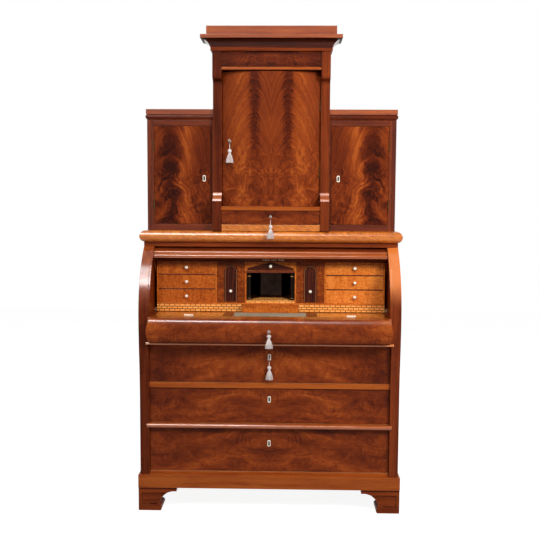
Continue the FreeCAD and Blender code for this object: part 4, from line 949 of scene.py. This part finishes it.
# threads that fall from the neck to the hem, each turned and cut a little differently
def threadTree():
    tree = bpy.data.node_groups.new("tassel_threads", "GeometryNodeTree")
    inputs = {}
    for label, kind in (("Threads", "Int"), ("Neck", "Float"), ("Hem", "Float"), ("Length", "Float"),
                        ("Thread Radius", "Float"), ("Seed", "Int"), ("Finish", "Material")):
        socket = tree.interface.new_socket(label, in_out="INPUT", socket_type="NodeSocket" + kind)
        inputs[label] = socket.identifier
    tree.interface.new_socket("Geometry", in_out="OUTPUT", socket_type="NodeSocketGeometry")
    made = {}

    def add(name, kind, sockets=None, settings=None):
        item = tree.nodes.new(kind)
        for key, value in (settings or {}).items():
            setattr(item, key, value)
        for key, value in (sockets or {}).items():
            if isinstance(value, tuple) and isinstance(value[0], str):
                tree.links.new(made[value[0]].outputs[value[1]], item.inputs[key])
            else:
                item.inputs[key].default_value = value
        made[name] = item

    add("group", "NodeGroupInput")
    times = {"operation": "MULTIPLY"}
    add("hemZ", "ShaderNodeMath", {0: ("group", "Length"), 1: -1.0}, times)
    add("bulgeZ", "ShaderNodeMath", {0: ("group", "Length"), 1: -thread["bulgeDown"]}, times)
    add("bulgeX", "ShaderNodeMath", {0: ("group", "Hem"), 1: thread["bulgeOut"]}, times)
    add("start", "ShaderNodeCombineXYZ", {"X": ("group", "Neck")})
    add("bulge", "ShaderNodeCombineXYZ", {"X": ("bulgeX", 0), "Z": ("bulgeZ", 0)})
    add("end", "ShaderNodeCombineXYZ", {"X": ("group", "Hem"), "Z": ("hemZ", 0)})
    add("strand", "GeometryNodeCurveQuadraticBezier",
        {"Resolution": thread["bends"], "Start": ("start", 0), "Middle": ("bulge", 0), "End": ("end", 0)})
    add("section", "GeometryNodeCurvePrimitiveCircle",
        {"Resolution": thread["sides"], "Radius": ("group", "Thread Radius")})
    add("tube", "GeometryNodeCurveToMesh", {"Curve": ("strand", 0), "Profile Curve": ("section", 0), "Fill Caps": True})
    add("points", "GeometryNodePoints", {"Count": ("group", "Threads")})
    add("index", "GeometryNodeInputIndex")
    add("step", "ShaderNodeMath", {0: ("index", 0), 1: thread["goldenAngle"]}, times)
    for name, (low, high) in thread["spreads"].items():
        add(name, "FunctionNodeRandomValue", {2: low, 3: high, "Seed": ("group", "Seed")}, {"data_type": "FLOAT"})
    add("angle", "ShaderNodeMath", {0: ("step", 0), 1: ("jitter", 1)}, {"operation": "ADD"})
    add("turn", "ShaderNodeCombineXYZ", {"Z": ("angle", 0)})
    add("scale", "ShaderNodeCombineXYZ", {"X": ("reach", 1), "Y": ("reach", 1), "Z": ("drop", 1)})
    add("spread", "GeometryNodeInstanceOnPoints",
        {"Points": ("points", 0), "Instance": ("tube", 0), "Rotation": ("turn", 0), "Scale": ("scale", 0)})
    add("real", "GeometryNodeRealizeInstances", {"Geometry": ("spread", 0)})
    add("coat", "GeometryNodeSetMaterial", {"Geometry": ("real", 0), "Material": ("group", "Finish")})
    add("out", "NodeGroupOutput", {"Geometry": ("coat", 0)})
    return tree, inputs


threads, threadInputs = threadTree()


def circle(sides):
    return [2 * math.pi * side / sides for side in range(sides)]


# faces between one ring of vertices and the next
def skinRings(bm, rings):
    for first, second in zip(rings, rings[1:]):
        for part in range(len(first)):
            after = (part + 1) % len(first)
            bm.faces.new((first[part], first[after], second[after], second[part]))


# a profile of radii and heights turned about Z, fluted and twisted
def spunProfile(bm, profile, centre, sides, flute=0.0, flutes=0, twist=0.0):
    rings = []
    for number, (radius, rise) in enumerate(profile):
        ring = []
        for angle in circle(sides):
            wide = radius * (1 + flute * math.cos(flutes * (angle + twist * number)))
            ring.append(bm.verts.new(centre + Vector((wide * math.cos(angle), wide * math.sin(angle), rise))))
        rings.append(ring)
    skinRings(bm, rings)
    bm.faces.new(rings[0][::-1])
    bm.faces.new(rings[-1])


# a ring of round section about an axis along Y or Z
def ringOf(bm, centre, radius, wire, axis, ply=0.0):
    rings = []
    up = Vector((0, 1, 0)) if axis == "y" else Vector((0, 0, 1))
    for angle in circle(tassel["ringSides"]):
        c, s = math.cos(angle), math.sin(angle)
        out = Vector((c, 0, s)) if axis == "y" else Vector((c, s, 0))
        ring = []
        for around in circle(tassel["ringSection"]):
            thick = wire * (1 + ply * math.cos(tassel["cordPlies"] * around + tassel["loopTurns"] * angle))
            reach = radius + thick * math.cos(around)
            ring.append(bm.verts.new(centre + out * reach + up * (thick * math.sin(around))))
        rings.append(ring)
    skinRings(bm, rings + rings[:1])


# the threads' mesh, hung from the origin
def makeSkirt(name, seed):
    holder = bpy.data.objects.new(name + "_threads", bpy.data.meshes.new(name + "_threads"))
    scene.collection.objects.link(holder)
    modifier = holder.modifiers.new("threads", "NODES")
    modifier.node_group = threads
    values = {"Threads": tassel["threads"], "Neck": tassel["neckRadius"] * thread["start"], "Hem": tassel["hemRadius"],
              "Length": tassel["skirt"], "Thread Radius": tassel["threadRadius"], "Seed": seed,
              "Finish": finishes["silk"]}
    for label, value in values.items():
        modifier[threadInputs[label]] = value
    graph = bpy.context.evaluated_depsgraph_get()
    skirt = bpy.data.meshes.new_from_object(holder.evaluated_get(graph))
    bpy.data.objects.remove(holder)
    return skirt


def makeTassel(name, seed):
    node = name + "_tassel"
    low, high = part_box(node)
    x, y = (low.x + high.x) / 2, (low.y + high.y) / 2
    neck = low.z + tassel["skirt"]
    headFoot = neck + tassel["neckHeight"]
    headTop = headFoot + tassel["headHeight"]
    loop, cord = tassel["loopRadius"], tassel["cordRadius"]
    loopZ = high.z - loop - cord

    def level(z):
        return Vector((x, y, z))

    skirt = makeSkirt(name, seed)
    skirt.transform(Matrix.Translation(level(neck)))
    bm = bmesh.new()
    bm.from_mesh(skirt)
    for face in bm.faces:
        face.material_index = 0
    half, rows = tassel["headHeight"] / 2, tassel["headRows"]
    head = []
    for row in range(rows + 1):
        angle = math.pi * (row / rows - 0.5)
        head.append((max(tassel["headRadius"] * math.cos(angle) ** tassel["headFull"], cord),
                     half * math.sin(angle)))
    spunProfile(bm, head, level(headFoot + half), tassel["headSides"], tassel["headFlute"], tassel["windings"],
                tassel["headTwist"])
    for turn in range(tassel["neckTurns"]):
        ringOf(bm, level(neck + tassel["neckFoot"] + turn * tassel["neckPitch"]),
               tassel["neckRadius"] - tassel["neckSunk"], tassel["neckCord"], "z")
    core, overlap = tassel["neckRadius"] - tassel["coreInset"], tassel["overlap"]
    spunProfile(bm, [(core, 0), (core, tassel["neckHeight"] + overlap)], level(neck), tassel["neckSides"])
    rows, drop = tassel["cordRows"], loopZ - loop - headTop + overlap * 2
    spunProfile(bm, [(cord, drop * row / rows) for row in range(rows + 1)], level(headTop - overlap),
                tassel["cordSides"], tassel["cordFlute"], tassel["cordPlies"], tassel["cordTwist"])
    ringOf(bm, level(loopZ), loop, cord * tassel["loopThin"], "y", tassel["loopPly"])
    bmesh.ops.recalc_face_normals(bm, faces=bm.faces)
    piece = addPiece(name + "_tassel_silk", bm, ["silk"], tassel["smooth"])
    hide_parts(node)
    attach(piece, node)


for seed, name in enumerate(keyed, tassel["firstSeed"]):
    makeTassel(name, seed)
print("tassels made")

# lock strike in the cylinder's lower edge, turned with the open cylinder
strike = {"axis": (0.060, 0.860), "open": 46.0, "radius": (0.2630, 0.2725), "x": (-0.034, 0.058),
          "gaps": (0.001, 0.030), "gapWidth": 0.006, "plate": 0.0006, "sunk": 0.45, "bevel": 0.00015}


def makeStrike():
    bm = bmesh.new()
    gap = strike["gapWidth"] / 2
    starts = [strike["x"][0]] + [g + gap for g in strike["gaps"]]
    ends = [g - gap for g in strike["gaps"]] + [strike["x"][1]]
    turn = Matrix.Rotation(-math.radians(strike["open"]), 4, "X")
    centre = Matrix.Translation((0, strike["axis"][0], strike["axis"][1]))
    inner, outer = strike["radius"]
    for start, end in zip(starts, ends):
        cube = bmesh.ops.create_cube(bm, size=1.0)
        for vert in cube["verts"]:
            x, y, z = vert.co
            flat = Vector(((start + end) / 2 + x * (end - start), -(inner + outer) / 2 + y * (outer - inner),
                           (z - strike["sunk"]) * strike["plate"]))
            vert.co = centre @ turn @ flat
    bmesh.ops.bevel(bm, geom=bm.edges[:], offset=strike["bevel"], segments=1, affect="EDGES", clamp_overlap=True)
    piece = addPiece("lock_strike", bm, ["steel"])
    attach(piece, "cylinder")


makeStrike()


# pale floor, soft studio light and a white surround
# rays says which rays find the lamp
white = (1, 1, 1, 1)
studio = {"world": 0.26, "floor": tone(250, 250, 250), "shade": tone(150, 148, 146), "glow": 0.72, "strength": 1.26,
          "floorHalf": 6, "floorZ": -0.0005}
lamps = {
    "keyLight": {"place": (-0.5, -2.9, 3.4), "aim": (-0.1, 0, 1.1), "size": (2.4, 0.7), "power": 64,
                 "rays": "diffuse glossy"},
    "windowLight": {"place": (-1.1, -2.5, 4.0), "aim": (-0.15, 0, 1.1), "size": (2.1, 2.0), "power": 210,
                    "rays": "glossy"},
    "fillLight": {"place": (1.45, -2.05, 2.10), "aim": (0.15, 0, 0.95), "size": (0.8, 0.8), "power": 48,
                  "rays": "diffuse"},
    "backLight": {"place": (0.6, 3.4, 2.6), "aim": (0, 0, 1.0), "size": (2.2, 1.6), "power": 45, "rays": "diffuse"}}


# white to the camera, with a part of the shadow kept
def floorPaint():
    paint = Finish("floor_paint", {"Roughness": 0.9, "Specular IOR Level": 0.1})
    glow = paint.node("ShaderNodeEmission", None, {"Color": white, "Strength": studio["strength"]})
    pale = paint.surround()
    paint.feed("Base Color", paint.blend(pale, studio["shade"], studio["floor"]))
    paint.show(pale * studio["glow"], Wire(paint, paint.shader.outputs[0]), glow, "Material Output")
    return paint.material


def makeWorld():
    world = bpy.data.worlds.new("studio")
    scene.world = world
    world.use_nodes = True
    sky = Nodes(world.node_tree)
    ground = sky.tree.nodes["Background"]
    ground.inputs["Color"].default_value = white
    ground.inputs["Strength"].default_value = studio["world"]
    bright = sky.node("ShaderNodeBackground", None, {"Color": white, "Strength": 1.0})
    sky.show(sky.surround(), Wire(sky, ground.outputs[0]), bright, "World Output")


def makeFloor():
    bm = bmesh.new()
    bmesh.ops.create_grid(bm, x_segments=1, y_segments=1, size=studio["floorHalf"])
    mesh = bpy.data.meshes.new("floor")
    bm.to_mesh(mesh)
    bm.free()
    mesh.materials.append(floorPaint())
    floor = bpy.data.objects.new("floor", mesh)
    floor.location.z = studio["floorZ"]
    scene.collection.objects.link(floor)


def makeLamp(name, lamp):
    data = bpy.data.lights.new(name, "AREA")
    data.shape = "RECTANGLE"
    data.size, data.size_y = lamp["size"]
    data.energy = lamp["power"]
    light = bpy.data.objects.new(name, data)
    light.location = lamp["place"]
    light.visible_diffuse = "diffuse" in lamp["rays"]
    light.visible_glossy = "glossy" in lamp["rays"]
    light.rotation_euler = (Vector(lamp["aim"]) - Vector(lamp["place"])).to_track_quat("-Z", "Y").to_euler()
    scene.collection.objects.link(light)


makeWorld()
makeFloor()
for name, lamp in lamps.items():
    makeLamp(name, lamp)
print("studio lit")
